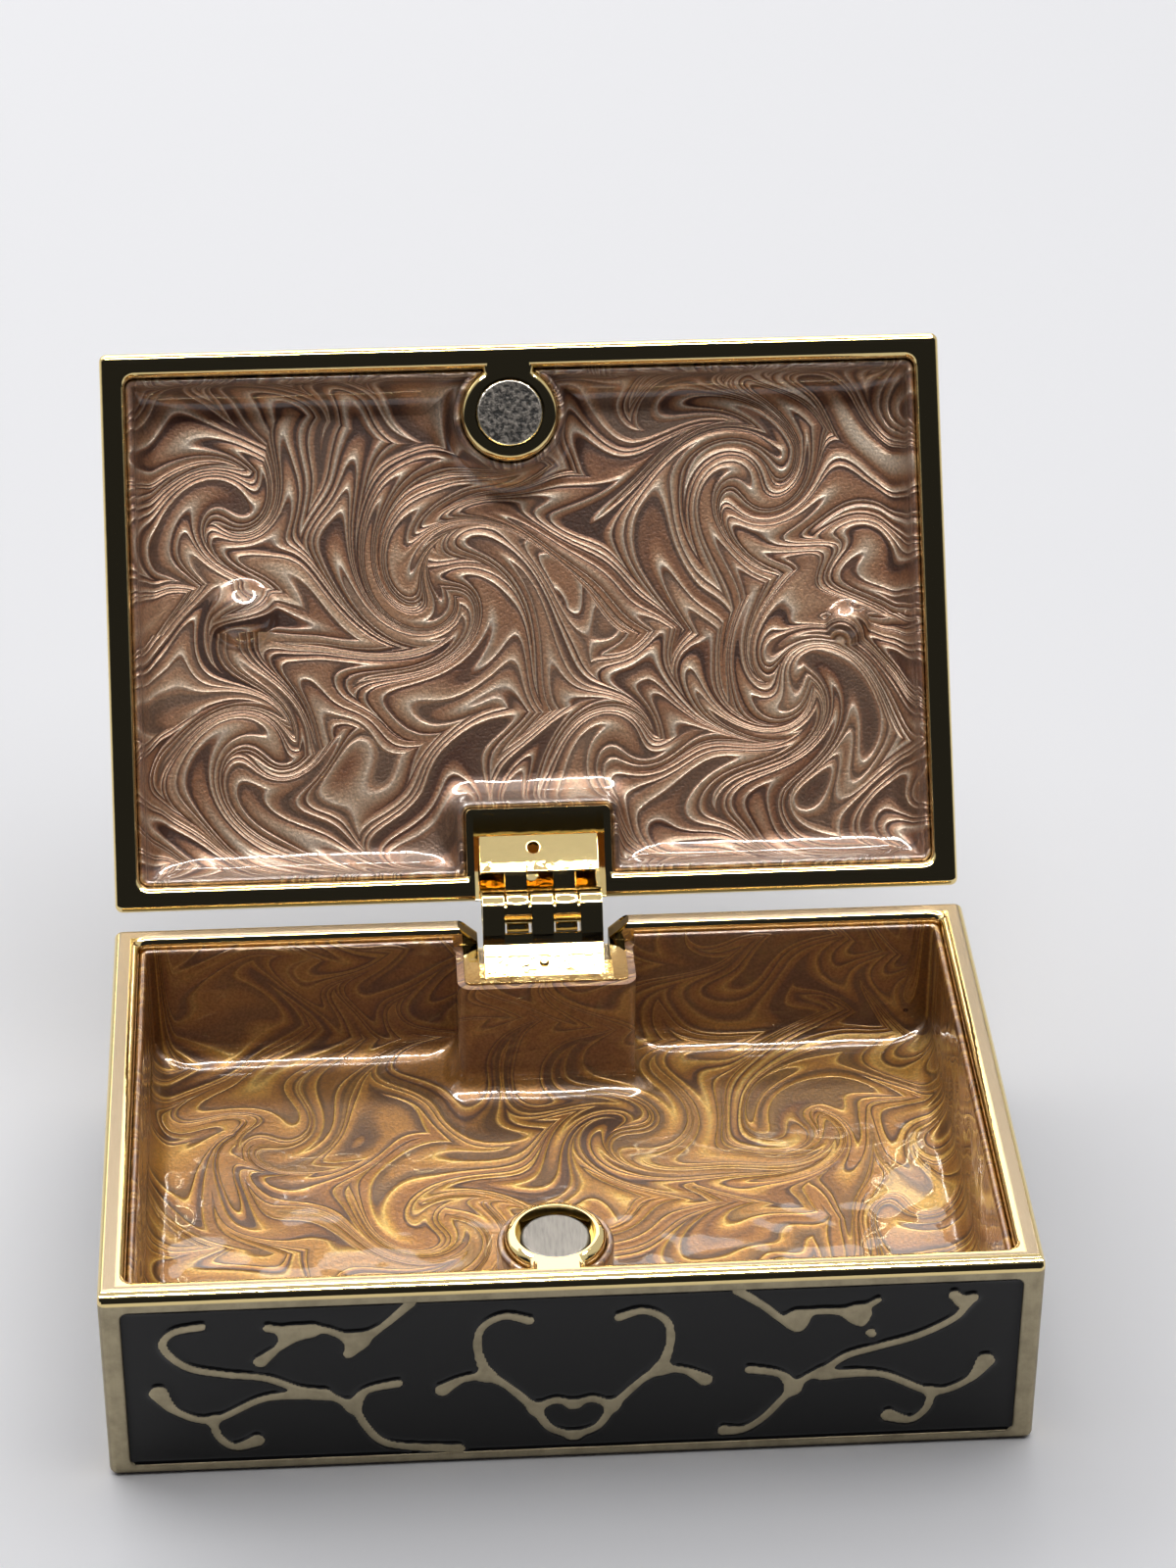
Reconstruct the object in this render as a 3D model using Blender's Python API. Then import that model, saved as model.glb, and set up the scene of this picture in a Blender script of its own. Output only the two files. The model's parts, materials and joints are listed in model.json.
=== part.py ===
"""Small rectangular trinket box with a hinged lid, standing open.

Two gilt castings are lined with marbled enamel. Black enamel fills the wells of their outer
faces round raised scrollwork. A five-knuckle hinge joins them, and a magnet and a steel disc,
each set in a round seat by the front rim, hold the lid shut.

Metres, +Z up. The origin is the centre of the base's underside, and the hinge is on the +Y side.
The lid is modelled shut, under an empty on the hinge's axis that then turns it open.
"""

import math
from dataclasses import dataclass

import bmesh
import bpy
from mathutils import Matrix, Vector

MM = 0.001

# Castings
BOX_WIDTH = 62.0 * MM
BOX_DEPTH = 41.0 * MM
BASE_HEIGHT = 15.5 * MM
LID_HEIGHT = 7.0 * MM
RIM_WIDTH = 1.8 * MM
BASE_BACK_RIM = 1.5 * MM
RIM_CHAMFER = 0.4 * MM
BASE_FLOOR = 4.3 * MM
LID_TOP = 2.0 * MM
OUTER_CORNER = 0.5 * MM
OUTER_EDGE = 0.5 * MM
CAVITY_CORNER = 0.7 * MM
CAVITY_FILLET = 0.8 * MM

# Clearances
ENAMEL_GAP = 0.1 * MM
CLOSED_GAP = 0.2 * MM
HINGE_GAP = 0.15 * MM
DISC_GAP = 0.1 * MM
LEAF_GAP = 0.1 * MM

# Enamel lining
LINING_WALL = 0.45 * MM
LINING_FLOOR = 0.5 * MM
LINING_BELOW_RIM = 0.4 * MM
LINING_BELOW_BLOCK = 0.15 * MM
BASE_LINING_FILLET = 1.5 * MM
LID_LINING_FILLET = 2.2 * MM

# Hinge
OPEN_ANGLE = 125.8
HINGE_X = 0.15 * MM
AXIS_BEHIND_BACK = 0.85 * MM
AXIS_BELOW_RIM = 0.18 * MM
BARREL_RADIUS = 1.6 * MM
PIN_RADIUS = 0.45 * MM
PIN_CLEARANCE = 0.1 * MM
KNUCKLE_COUNT = 5
KNUCKLE_WIDTH = 1.64 * MM
LEAF_THICKNESS = 0.6 * MM
LEAF_DROP = 2.14 * MM
LEAF_LENGTH = 4.9 * MM
LEAF_SLOPE = 30.0
LID_NOTCH_REACH = 3.35 * MM
RIVET_HOLE_RADIUS = 0.48 * MM
RIVET_HOLE_ALONG_LEAF = 3.7 * MM

# Hinge pockets and the blocks that hold them
POCKET_SIDE_GAP = 0.4 * MM
BASE_POCKET_END_GAP = 0.6 * MM
BASE_BLOCK_SIDE = 1.1 * MM
BASE_BLOCK_FRONT = 0.7 * MM
BASE_BLOCK_DROP = 1.35 * MM
LID_POCKET_END_GAP = 1.35 * MM
LID_BLOCK_SIDE = 0.6 * MM
LID_BLOCK_FRONT = 0.45 * MM
LID_BLOCK_DROP = 0.3 * MM
BLOCK_CORNER = 0.45 * MM
NOTCH_FLARE = 1.6 * MM

# Magnetic catch
CATCH_X = -0.95 * MM
CATCH_FROM_FRONT = 5.1 * MM
CATCH_NECK = 1.9 * MM
MAGNET_RADIUS = 2.5 * MM
MAGNET_THICKNESS = 1.5 * MM
MAGNET_SEAT_RADIUS = 3.6 * MM
MAGNET_BELOW_RIM = 0.1 * MM
DISC_RADIUS = 2.35 * MM
DISC_THICKNESS = 1.0 * MM
DISC_SEAT_RADIUS = 3.35 * MM
DISC_BELOW_RIM = 0.25 * MM

# Outer enamel panels
PANEL_SIDE_FRAME = 1.45 * MM
PANEL_FOOT_FRAME = 0.9 * MM
PANEL_HEAD_FRAME = 1.45 * MM
BACK_PANEL_HEAD_FRAME = 3.8 * MM
LID_SIDE_FRAME = 1.2 * MM
PANEL_CORNER = 0.5 * MM
WELL_DEPTH = 0.75 * MM
ENAMEL_BELOW_FACE = 0.2 * MM
SCROLL_WIDTH = 0.46 * MM
SCROLL_BELOW_FACE = 0.05 * MM

ARC_STEPS = 2
FILLET_STEPS = 3
SEAT_STEPS = 12
DISC_SIDES = 24
NARROW_FACE = 2.0 * MM
BARREL_SIDES = 20

AXIS = Vector((HINGE_X, BOX_DEPTH / 2 + AXIS_BEHIND_BACK, BASE_HEIGHT - AXIS_BELOW_RIM))
HINGE_WIDTH = KNUCKLE_COUNT * KNUCKLE_WIDTH + (KNUCKLE_COUNT - 1) * HINGE_GAP
POCKET_HALF_WIDTH = HINGE_WIDTH / 2 + POCKET_SIDE_GAP
LEAF_RUN = BARREL_RADIUS + LEAF_LENGTH * math.cos(math.radians(LEAF_SLOPE))
CATCH_Y = CATCH_FROM_FRONT - BOX_DEPTH / 2

# Scrollwork. Each stroke is its width at the start and at the end, as a multiple of the scroll's
# own width, and then its points: across the panel from the middle, 1 at the edge, and up from 0 to 1.
HEART = (
    (1.0, 1.2, ((-0.006, 0.283), (0.042, 0.32), (0.087, 0.268))),
    (1.2, 1.0, ((0.087, 0.268), (0.053, 0.135), (-0.006, 0.077))),
)
HEART_SCROLLS = (
    (1.5, 1.2, ((0.195, 0.505), (0.15, 0.43), (0.087, 0.268))),
    (1.5, 1.1, ((0.195, 0.505), (0.22, 0.71), (0.168, 0.895), (0.098, 0.845))),
    (1.2, 1.8, ((0.195, 0.505), (0.25, 0.485), (0.295, 0.42))),
)
BRANCH = (
    (1.2, 2.1, ((0.60, 0.45), (0.705, 0.418), (0.81, 0.275), (0.895, 0.335), (0.929, 0.46))),
    (1.0, 1.7, ((0.81, 0.275), (0.80, 0.16), (0.76, 0.095), (0.708, 0.132))),
    (1.5, 1.2, ((0.50, 0.335), (0.465, 0.45), (0.382, 0.477))),
)
LEFT_TWIGS = (
    (
        1.0,
        1.4,
        (
            (0.822, 0.902),
            (0.902, 0.80),
            (0.84, 0.635),
            (0.70, 0.55),
            (0.60, 0.45),
            (0.50, 0.335),
            (0.45, 0.14),
            (0.33, -0.03),
        ),
    ),
    (1.1, 1.5, ((0.35, 1.04), (0.405, 0.88), (0.485, 0.765), (0.503, 0.675))),
    (1.3, 1.6, ((0.485, 0.765), (0.565, 0.85), (0.64, 0.795))),
    (1.5, 0.9, ((0.62, 0.815), (0.69, 0.89))),
    (1.5, 1.3, ((0.635, 0.80), (0.702, 0.65))),
)
RIGHT_TWIGS = (
    (
        2.1,
        1.4,
        (
            (0.868, 0.91),
            (0.872, 0.80),
            (0.80, 0.685),
            (0.66, 0.585),
            (0.506, 0.37),
            (0.455, 0.20),
            (0.385, 0.075),
            (0.34, 0.072),
        ),
    ),
    (1.1, 1.8, ((0.35, 1.04), (0.40, 0.93), (0.497, 0.755))),
    (1.5, 1.7, ((0.49, 0.77), (0.545, 0.845), (0.625, 0.81))),
    (1.6, 0.9, ((0.605, 0.825), (0.68, 0.905))),
    (1.6, 0.6, ((0.61, 0.825), (0.655, 0.72))),
)
CORNER_TWIGS = (
    (1.0, 2.0, ((0.90, 0.66), (0.915, 0.80), (0.83, 0.90), (0.71, 0.86), (0.60, 0.93))),
)
SIDE_SCROLLS = (
    (1.4, 1.0, ((-0.01, 0.22), (0.13, 0.26), (0.26, 0.50), (0.42, 0.72), (0.55, 0.62))),
    (1.3, 1.8, ((0.26, 0.50), (0.40, 0.36), (0.58, 0.28), (0.73, 0.40))),
)


@dataclass
class Half:
    """One half of the box: where its rim is, which way its cavity runs from there, and its own sizes."""

    name: str
    rim_z: float
    inward: int
    height: float
    floor: float
    back_rim: float
    pocket_end_gap: float
    block_side: float
    block_front: float
    block_drop: float
    seat_radius: float
    lining_fillet: float

    def level(self, depth):
        """The height of a level that lies this deep below the rim, seen from the mouth."""
        return self.rim_z + self.inward * depth

    @property
    def cavity_depth(self):
        return self.height - self.floor

    @property
    def pocket_front(self):
        return AXIS.y - LEAF_RUN - self.pocket_end_gap

    @property
    def block_half_width(self):
        return POCKET_HALF_WIDTH + self.block_side


BASE = Half(
    name="base",
    rim_z=BASE_HEIGHT,
    inward=-1,
    height=BASE_HEIGHT,
    floor=BASE_FLOOR,
    back_rim=BASE_BACK_RIM,
    pocket_end_gap=BASE_POCKET_END_GAP,
    block_side=BASE_BLOCK_SIDE,
    block_front=BASE_BLOCK_FRONT,
    block_drop=BASE_BLOCK_DROP,
    seat_radius=DISC_SEAT_RADIUS,
    lining_fillet=BASE_LINING_FILLET,
)
LID = Half(
    name="lid",
    rim_z=BASE_HEIGHT + CLOSED_GAP,
    inward=1,
    height=LID_HEIGHT,
    floor=LID_TOP,
    back_rim=RIM_WIDTH,
    pocket_end_gap=LID_POCKET_END_GAP,
    block_side=LID_BLOCK_SIDE,
    block_front=LID_BLOCK_FRONT,
    block_drop=LID_BLOCK_DROP,
    seat_radius=MAGNET_SEAT_RADIUS,
    lining_fillet=LID_LINING_FILLET,
)


def clear_scene():
    for existing in list(bpy.data.objects):
        bpy.data.objects.remove(existing)


def new_collection(name, parent=None):
    made = bpy.data.collections.new(name)
    (parent or bpy.context.scene.collection).children.link(made)
    return made


def new_material(name, colour, metallic, roughness):
    made = bpy.data.materials.new(name)
    made.use_nodes = True
    shader = made.node_tree.nodes["Principled BSDF"]
    shader.inputs["Base Color"].default_value = (*colour, 1.0)
    shader.inputs["Metallic"].default_value = metallic
    shader.inputs["Roughness"].default_value = roughness
    return made


def finish_mesh(bm, name):
    """Merges doubles, points every face outwards and returns the mesh."""
    bmesh.ops.remove_doubles(bm, verts=bm.verts, dist=0.001 * MM)
    bmesh.ops.recalc_face_normals(bm, faces=bm.faces)
    mesh = bpy.data.meshes.new(name)
    bm.to_mesh(mesh)
    bm.free()
    return mesh


def shade_round(mesh):
    """Shades the narrow faces of a rounding smooth, and leaves caps and broad walls flat."""
    mesh.shade_smooth()
    mesh.set_sharp_from_angle(angle=math.radians(50.0))
    for face in mesh.polygons:
        sides = [(mesh.vertices[a].co - mesh.vertices[b].co).length for a, b in face.edge_keys]
        face.use_smooth = len(sides) == 4 and min(sides) < NARROW_FACE
    return mesh


def add_part(name, mesh, material):
    made = bpy.data.objects.new(name, mesh)
    mesh.materials.append(material)
    parts.objects.link(made)
    return made


def add_cutter(name, mesh, collection=None):
    made = bpy.data.objects.new(name, mesh)
    made.hide_render = True
    made.display_type = "WIRE"
    (collection or cutters).objects.link(made)
    return made


def combine(target, operand, operation="DIFFERENCE"):
    """Adds a Boolean modifier, with an object or a whole collection as its operand."""
    step = target.modifiers.new(operand.name, "BOOLEAN")
    step.operation = operation
    step.solver = "EXACT"
    if isinstance(operand, bpy.types.Collection):
        step.operand_type = "COLLECTION"
        step.collection = operand
    else:
        step.object = operand


def arc(centre, radius, start, end, steps):
    """Points along an arc, angles in degrees from +X."""
    angles = [math.radians(start + (end - start) * i / steps) for i in range(steps + 1)]
    return [(centre[0] + radius * math.cos(a), centre[1] + radius * math.sin(a)) for a in angles]


def loft(name, sections):
    """A closed mesh through plan outlines of equal length, each given with its height."""
    bm = bmesh.new()
    rings = [[bm.verts.new((x, y, z)) for x, y in outline] for outline, z in sections]
    for lower, upper in zip(rings, rings[1:]):
        for i in range(len(lower)):
            j = (i + 1) % len(lower)
            bm.faces.new((lower[i], lower[j], upper[j], upper[i]))
    bm.faces.new(rings[0])
    bm.faces.new(rings[-1])
    return shade_round(finish_mesh(bm, name))


def box_mesh(name, low, high):
    bm = bmesh.new()
    bmesh.ops.create_cube(bm, size=1.0)
    low, high = Vector(low), Vector(high)
    for vertex in bm.verts:
        share = vertex.co + Vector((0.5, 0.5, 0.5))
        vertex.co = low + Vector([share[i] * (high - low)[i] for i in range(3)])
    return finish_mesh(bm, name)


def cylinder_mesh(name, radius, length, sides, matrix):
    """A cylinder centred on the matrix's origin, along its local Z."""
    bm = bmesh.new()
    bmesh.ops.create_cone(
        bm, cap_ends=True, segments=sides, radius1=radius, radius2=radius, depth=length, matrix=matrix
    )
    return shade_round(finish_mesh(bm, name))


def curve_mesh(name, data):
    """The closed mesh of a curve, which is then removed."""
    guide = add_cutter(name, data)
    bpy.context.view_layer.update()
    mesh = bpy.data.meshes.new_from_object(guide.evaluated_get(bpy.context.evaluated_depsgraph_get()))
    bpy.data.objects.remove(guide)
    bm = bmesh.new()
    bm.from_mesh(mesh)
    return finish_mesh(bm, name)


def plate_mesh(name, outline, half_thickness, matrix=None):
    """A flat outline made solid on both sides of its own plane."""
    data = bpy.data.curves.new(name, "CURVE")
    data.dimensions = "2D"
    data.fill_mode = "BOTH"
    data.extrude = half_thickness
    spline = data.splines.new("POLY")
    spline.points.add(len(outline) - 1)
    for point, (x, y) in zip(spline.points, outline):
        point.co = (x, y, 0.0, 1.0)
    spline.use_cyclic_u = True
    mesh = curve_mesh(name, data)
    mesh.shade_flat()
    mesh.transform(matrix or Matrix.Identity(4))
    return mesh


def prism_mesh(name, profile, half_width):
    """A side profile of (y, z) points, made solid along X round the hinge's middle."""
    from_the_side = Matrix(((0, 0, 1, HINGE_X), (1, 0, 0, 0), (0, 1, 0, 0), (0, 0, 0, 1)))
    return plate_mesh(name, profile, half_width, from_the_side)


def cavity_outline(half, inset):
    """The cavity's plan, drawn in by inset: a rectangle less the hinge block and the catch's seat."""
    side = BOX_WIDTH / 2 - RIM_WIDTH - inset
    front = RIM_WIDTH - BOX_DEPTH / 2 + inset
    back = BOX_DEPTH / 2 - half.back_rim - inset
    corner = max(CAVITY_CORNER - inset, 0.25 * CAVITY_CORNER)
    block_left = HINGE_X - half.block_half_width - inset
    block_right = HINGE_X + half.block_half_width + inset
    block_y = half.pocket_front - half.block_front - inset
    turn = BLOCK_CORNER + max(inset, 0.0)
    seat = half.seat_radius + inset
    to_wall = CATCH_Y - front
    joint = max(CATCH_NECK + inset, math.sqrt(max(seat**2 - to_wall**2, 0.0)))
    reach = math.degrees(math.acos(joint / seat))
    outline = [(block_right, back)]
    outline += arc((side - corner, back - corner), corner, 90, 0, ARC_STEPS)
    outline += arc((side - corner, front + corner), corner, 0, -90, ARC_STEPS)
    outline += [(CATCH_X + joint, front)]
    outline += arc((CATCH_X, CATCH_Y), seat, -reach, 180 + reach, SEAT_STEPS)
    outline += [(CATCH_X - joint, front)]
    outline += arc((corner - side, front + corner), corner, -90, -180, ARC_STEPS)
    outline += arc((corner - side, back - corner), corner, 180, 90, ARC_STEPS)
    outline += [(block_left, back)]
    outline += arc((block_left + turn, block_y + turn), turn, 180, 270, ARC_STEPS)
    outline += arc((block_right - turn, block_y + turn), turn, -90, 0, ARC_STEPS)
    return outline


def cavity_plug(name, half, inset, floor_depth, fillet, chamfer=0.0):
    """The space inside a half: a flat floor, a fillet round it, straight walls, and past the rim."""
    sections = []
    for i in range(FILLET_STEPS + 1):
        angle = math.radians(90 * i / FILLET_STEPS)
        from_wall = fillet * (1 - math.sin(angle))
        off_floor = fillet * (1 - math.cos(angle))
        sections.append((inset + from_wall, floor_depth - off_floor))
    if chamfer:
        sections += [(inset, chamfer), (inset - chamfer, 0.0)]
    sections.append((inset - chamfer, -half.height))
    return loft(name, [(cavity_outline(half, i), half.level(depth)) for i, depth in sections])


def outer_block(name, half):
    """The solid block that a half is cut from, with its upright corners and its edges rounded."""
    bm = bmesh.new()
    bmesh.ops.create_cube(bm, size=1.0)
    middle = half.level(half.height / 2)
    for vertex in bm.verts:
        vertex.co = Vector(
            (vertex.co.x * BOX_WIDTH, vertex.co.y * BOX_DEPTH, middle + vertex.co.z * half.height)
        )
    upright = [e for e in bm.edges if abs((e.verts[0].co - e.verts[1].co).z) > half.height / 2]
    bmesh.ops.bevel(
        bm, geom=upright, offset=OUTER_CORNER, segments=ARC_STEPS, profile=0.5, affect="EDGES", material=-1
    )
    flat = [f for f in bm.faces if abs(f.normal.z) > 0.9]
    rims = {e for f in flat for e in f.edges}
    bmesh.ops.bevel(
        bm, geom=list(rims), offset=OUTER_EDGE, segments=2, profile=0.5, affect="EDGES", material=-1
    )
    return shade_round(finish_mesh(bm, name))


def pocket_profile(half):
    """The hinge pocket from the side: level under the barrel, sloping under the leaf, open at the rim."""
    slope = math.radians(LEAF_SLOPE)
    under = LEAF_THICKNESS + LEAF_GAP
    heel_run = BARREL_RADIUS - LEAF_THICKNESS
    along = (heel_run - BARREL_RADIUS + under * math.sin(slope)) / math.cos(slope)
    heel_drop = LEAF_DROP + under * math.cos(slope) + along * math.sin(slope)
    toe_run = LEAF_RUN - under * math.sin(slope)
    toe_drop = LEAF_DROP + LEAF_LENGTH * math.sin(slope) + under * math.cos(slope)
    end_run = AXIS.y - half.pocket_front
    over = half.height
    corners = [
        (-BARREL_RADIUS, heel_drop),
        (heel_run, heel_drop),
        (toe_run, toe_drop),
        (end_run, toe_drop),
        (end_run, -over),
        (-BARREL_RADIUS, -over),
    ]
    return [(AXIS.y - run, AXIS.z + half.inward * drop) for run, drop in corners]


def cut_half(casting, half, follow):
    """Hollows a casting: cavity, hinge pocket, flared notch in the back rim, block top and disc seat."""
    plug = cavity_plug("cavity", half, 0.0, half.cavity_depth, CAVITY_FILLET, RIM_CHAMFER)
    pocket = prism_mesh("pocket", pocket_profile(half), POCKET_HALF_WIDTH)
    back_wall = BOX_DEPTH / 2 - half.back_rim
    reach = half.block_half_width + RIM_CHAMFER
    block_y = half.pocket_front - half.block_front
    block_z = sorted((half.level(half.block_drop), half.level(-half.height)))
    relief = box_mesh(
        "block_relief",
        (HINGE_X - reach, block_y - RIM_CHAMFER, block_z[0]),
        (HINGE_X + reach, back_wall, block_z[1]),
    )
    made = [(plug, "cavity"), (pocket, "pocket"), (relief, "block_relief")]
    if half.inward < 0:
        low, high = half.level(half.block_drop), half.level(-half.block_drop * 0.1)
        wide = POCKET_HALF_WIDTH + NOTCH_FLARE
        flare = [(-POCKET_HALF_WIDTH, low), (POCKET_HALF_WIDTH, low), (wide, high), (-wide, high)]
        from_the_back = Matrix(((1, 0, 0, HINGE_X), (0, 0, -1, BOX_DEPTH / 2), (0, 1, 0, 0), (0, 0, 0, 1)))
        notch = plate_mesh("notch", flare, half.back_rim + RIM_CHAMFER, from_the_back)
        made.append((notch, "rim_notch"))
    for mesh, label in made:
        cutter = add_cutter(f"{half.name}_{label}", mesh)
        follow(cutter)
        combine(casting, cutter)


def catch_matrix(z):
    return Matrix.Translation((CATCH_X, CATCH_Y, z))


def add_disc(name, half, radius, thickness, below_rim, material, casting, follow):
    """A round disc in its seat, and the bore that it is set in."""
    middle = half.level(below_rim + thickness / 2)
    disc = add_part(
        name, cylinder_mesh(name, radius, thickness, DISC_SIDES, catch_matrix(middle)), material
    )
    deep = thickness + DISC_GAP + below_rim + RIM_WIDTH
    bore_middle = half.level(below_rim + thickness + DISC_GAP - deep / 2)
    bore = add_cutter(
        f"{name}_bore",
        cylinder_mesh(f"{name}_bore", radius + DISC_GAP, deep, DISC_SIDES, catch_matrix(bore_middle)),
    )
    combine(casting, bore)
    follow(disc)
    follow(bore)
    return disc


def add_lining(half, material, follow):
    """The enamel lining: a thin tray that covers the cavity's floor and walls, and the hinge block."""
    name = f"{half.name}_lining_enamel"
    outer = cavity_plug(name, half, ENAMEL_GAP, half.cavity_depth - ENAMEL_GAP, CAVITY_FILLET)
    lining = add_part(name, outer, material)
    inner = cavity_plug(
        "room",
        half,
        ENAMEL_GAP + LINING_WALL,
        half.cavity_depth - ENAMEL_GAP - LINING_FLOOR,
        half.lining_fillet,
    )
    top = sorted((half.level(LINING_BELOW_RIM), half.level(-2 * half.height)))
    reach = Vector((BOX_WIDTH, BOX_DEPTH, 0.0))
    above_rim = box_mesh("above", (*(-reach).xy, top[0]), (*reach.xy, top[1]))
    skin = ENAMEL_GAP + LINING_WALL + ENAMEL_GAP
    beside = half.block_half_width + skin
    block_top = sorted((half.level(half.block_drop + LINING_BELOW_BLOCK), half.level(-2 * half.height)))
    above_block = box_mesh(
        "above_block",
        (HINGE_X - beside, half.pocket_front - half.block_front - skin, block_top[0]),
        (HINGE_X + beside, BOX_DEPTH / 2, block_top[1]),
    )
    for mesh, label in ((inner, "room"), (above_rim, "rim_trim"), (above_block, "block_trim")):
        cutter = add_cutter(f"{half.name}_lining_{label}", mesh)
        follow(cutter)
        combine(lining, cutter)
    follow(lining)
    return lining


def leaf_profile(fold):
    """A hinge leaf from the side: a short wall in front of the barrel, then a sloping plate."""
    slope = math.radians(LEAF_SLOPE)
    along = (math.cos(slope), math.sin(slope))
    through = (-math.sin(slope) * LEAF_THICKNESS, math.cos(slope) * LEAF_THICKNESS)
    front = BARREL_RADIUS
    rear = BARREL_RADIUS - LEAF_THICKNESS
    toe = (front + LEAF_LENGTH * along[0], LEAF_DROP + LEAF_LENGTH * along[1])
    back_along = (rear - front - through[0]) / along[0]
    heel = (rear, LEAF_DROP + through[1] + back_along * along[1])
    corners = [
        (rear, 0.0),
        (front, 0.0),
        (front, LEAF_DROP),
        toe,
        (toe[0] + through[0], toe[1] + through[1]),
        heel,
    ]
    return [(AXIS.y - run, AXIS.z + fold * drop) for run, drop in corners]


def add_leaf(name, fold, own, notch_reach, notch_drop, material, follow):
    """A hinge leaf with the knuckles numbered in own, cut clear of the other leaf's knuckles."""
    at_axis = Matrix.Translation(AXIS) @ Matrix.Rotation(math.radians(90), 4, "Y")
    leaf = add_part(name, prism_mesh(name, leaf_profile(fold), HINGE_WIDTH / 2), material)
    barrel = add_cutter(
        f"{name}_barrel", cylinder_mesh("barrel", BARREL_RADIUS, HINGE_WIDTH, BARREL_SIDES, at_axis)
    )
    combine(leaf, barrel, "UNION")
    follow(barrel)
    pitch = KNUCKLE_WIDTH + HINGE_GAP
    room = BARREL_RADIUS + HINGE_GAP
    for number in range(KNUCKLE_COUNT):
        if number in own:
            continue
        start = HINGE_X + number * pitch - HINGE_WIDTH / 2 - HINGE_GAP
        low_z, high_z = sorted((AXIS.z - fold * room, AXIS.z + fold * notch_drop))
        notch = add_cutter(
            f"{name}_notch_{number + 1}",
            box_mesh(
                "notch",
                (start, AXIS.y - notch_reach, low_z),
                (start + KNUCKLE_WIDTH + 2 * HINGE_GAP, AXIS.y + room, high_z),
            ),
        )
        combine(leaf, notch)
        follow(notch)
    bore = add_cutter(
        f"{name}_bore",
        cylinder_mesh("bore", PIN_RADIUS + PIN_CLEARANCE, 2 * HINGE_WIDTH, BARREL_SIDES, at_axis),
    )
    combine(leaf, bore)
    follow(bore)
    follow(leaf)
    return leaf


def drill_rivet_hole(leaf, fold, follow):
    """The hole through the lid's leaf, square to its sloping plate."""
    slope = math.radians(LEAF_SLOPE)
    run = BARREL_RADIUS + RIVET_HOLE_ALONG_LEAF * math.cos(slope)
    drop = LEAF_DROP + RIVET_HOLE_ALONG_LEAF * math.sin(slope)
    centre = Vector((AXIS.x, AXIS.y - run, AXIS.z + fold * drop))
    tilt = Matrix.Rotation(-fold * slope, 4, "X")
    drill = add_cutter(
        f"{leaf.name}_drill",
        cylinder_mesh(
            "drill", RIVET_HOLE_RADIUS, 4 * LEAF_THICKNESS, BARREL_SIDES, Matrix.Translation(centre) @ tilt
        ),
    )
    combine(leaf, drill)
    follow(drill)


def face_matrix(origin, right, up):
    """A panel's own frame: X across it, Y up it, Z out of the box."""
    right, up = Vector(right), Vector(up)
    matrix = Matrix((right, up, right.cross(up))).transposed().to_4x4()
    matrix.translation = origin
    return matrix


def panel_mesh(name, width, height, corner, near, far):
    """A plate with rounded corners, from near to far along its own Z."""
    bm = bmesh.new()
    bmesh.ops.create_cube(bm, size=1.0)
    for vertex in bm.verts:
        middle = (near + far) / 2
        vertex.co = Vector(
            (vertex.co.x * width, vertex.co.y * height, middle + vertex.co.z * (far - near))
        )
    upright = [e for e in bm.edges if abs((e.verts[0].co - e.verts[1].co).z) > (far - near) / 2]
    bmesh.ops.bevel(bm, geom=upright, offset=corner, segments=2, profile=0.5, affect="EDGES", material=-1)
    return finish_mesh(bm, name)


def scroll_profile(name, half_width, above, below):
    """The scroll's cross-section, as a closed curve whose own Y is the way out of the panel."""
    data = bpy.data.curves.new(name, "CURVE")
    data.dimensions = "2D"
    data.fill_mode = "NONE"
    spline = data.splines.new("POLY")
    spline.points.add(3)
    corners = ((-half_width, above), (half_width, above), (half_width, -below), (-half_width, -below))
    for point, (x, y) in zip(spline.points, corners):
        point.co = (x, y, 0.0, 1.0)
    spline.use_cyclic_u = True
    return add_cutter(name, data)


def stroke_mesh(name, stroke, size, profile):
    """One stroke of scrollwork in its panel's own frame; a negative size mirrors it."""
    start, end, points = stroke
    data = bpy.data.curves.new(name, "CURVE")
    data.dimensions = "3D"
    data.twist_mode = "Z_UP"
    data.bevel_mode = "OBJECT"
    data.bevel_object = profile
    data.use_fill_caps = True
    data.resolution_u = 2
    spline = data.splines.new("BEZIER")
    spline.bezier_points.add(len(points) - 1)
    for point, (across, up) in zip(spline.bezier_points, points):
        point.co = (across * size[0], (up - 0.5) * size[1], 0.0)
        point.handle_left_type = "AUTO"
        point.handle_right_type = "AUTO"
    spline.bezier_points[0].radius = start
    spline.bezier_points[-1].radius = end
    return shade_round(curve_mesh(name, data))


def heart_outline(size):
    """The heart's centre line as a closed outline in its panel's own frame."""
    half = [p for p in HEART[0][2] if p[0] > 0] + [p for p in HEART[1][2][1:] if p[0] > 0]
    top = (0.0, HEART[0][2][0][1])
    foot = (0.0, HEART[1][2][-1][1])
    ring = [top, *half, foot, *[(-x, y) for x, y in reversed(half)]]
    return [(x * size[0], (y - 0.5) * size[1]) for x, y in ring]


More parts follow.
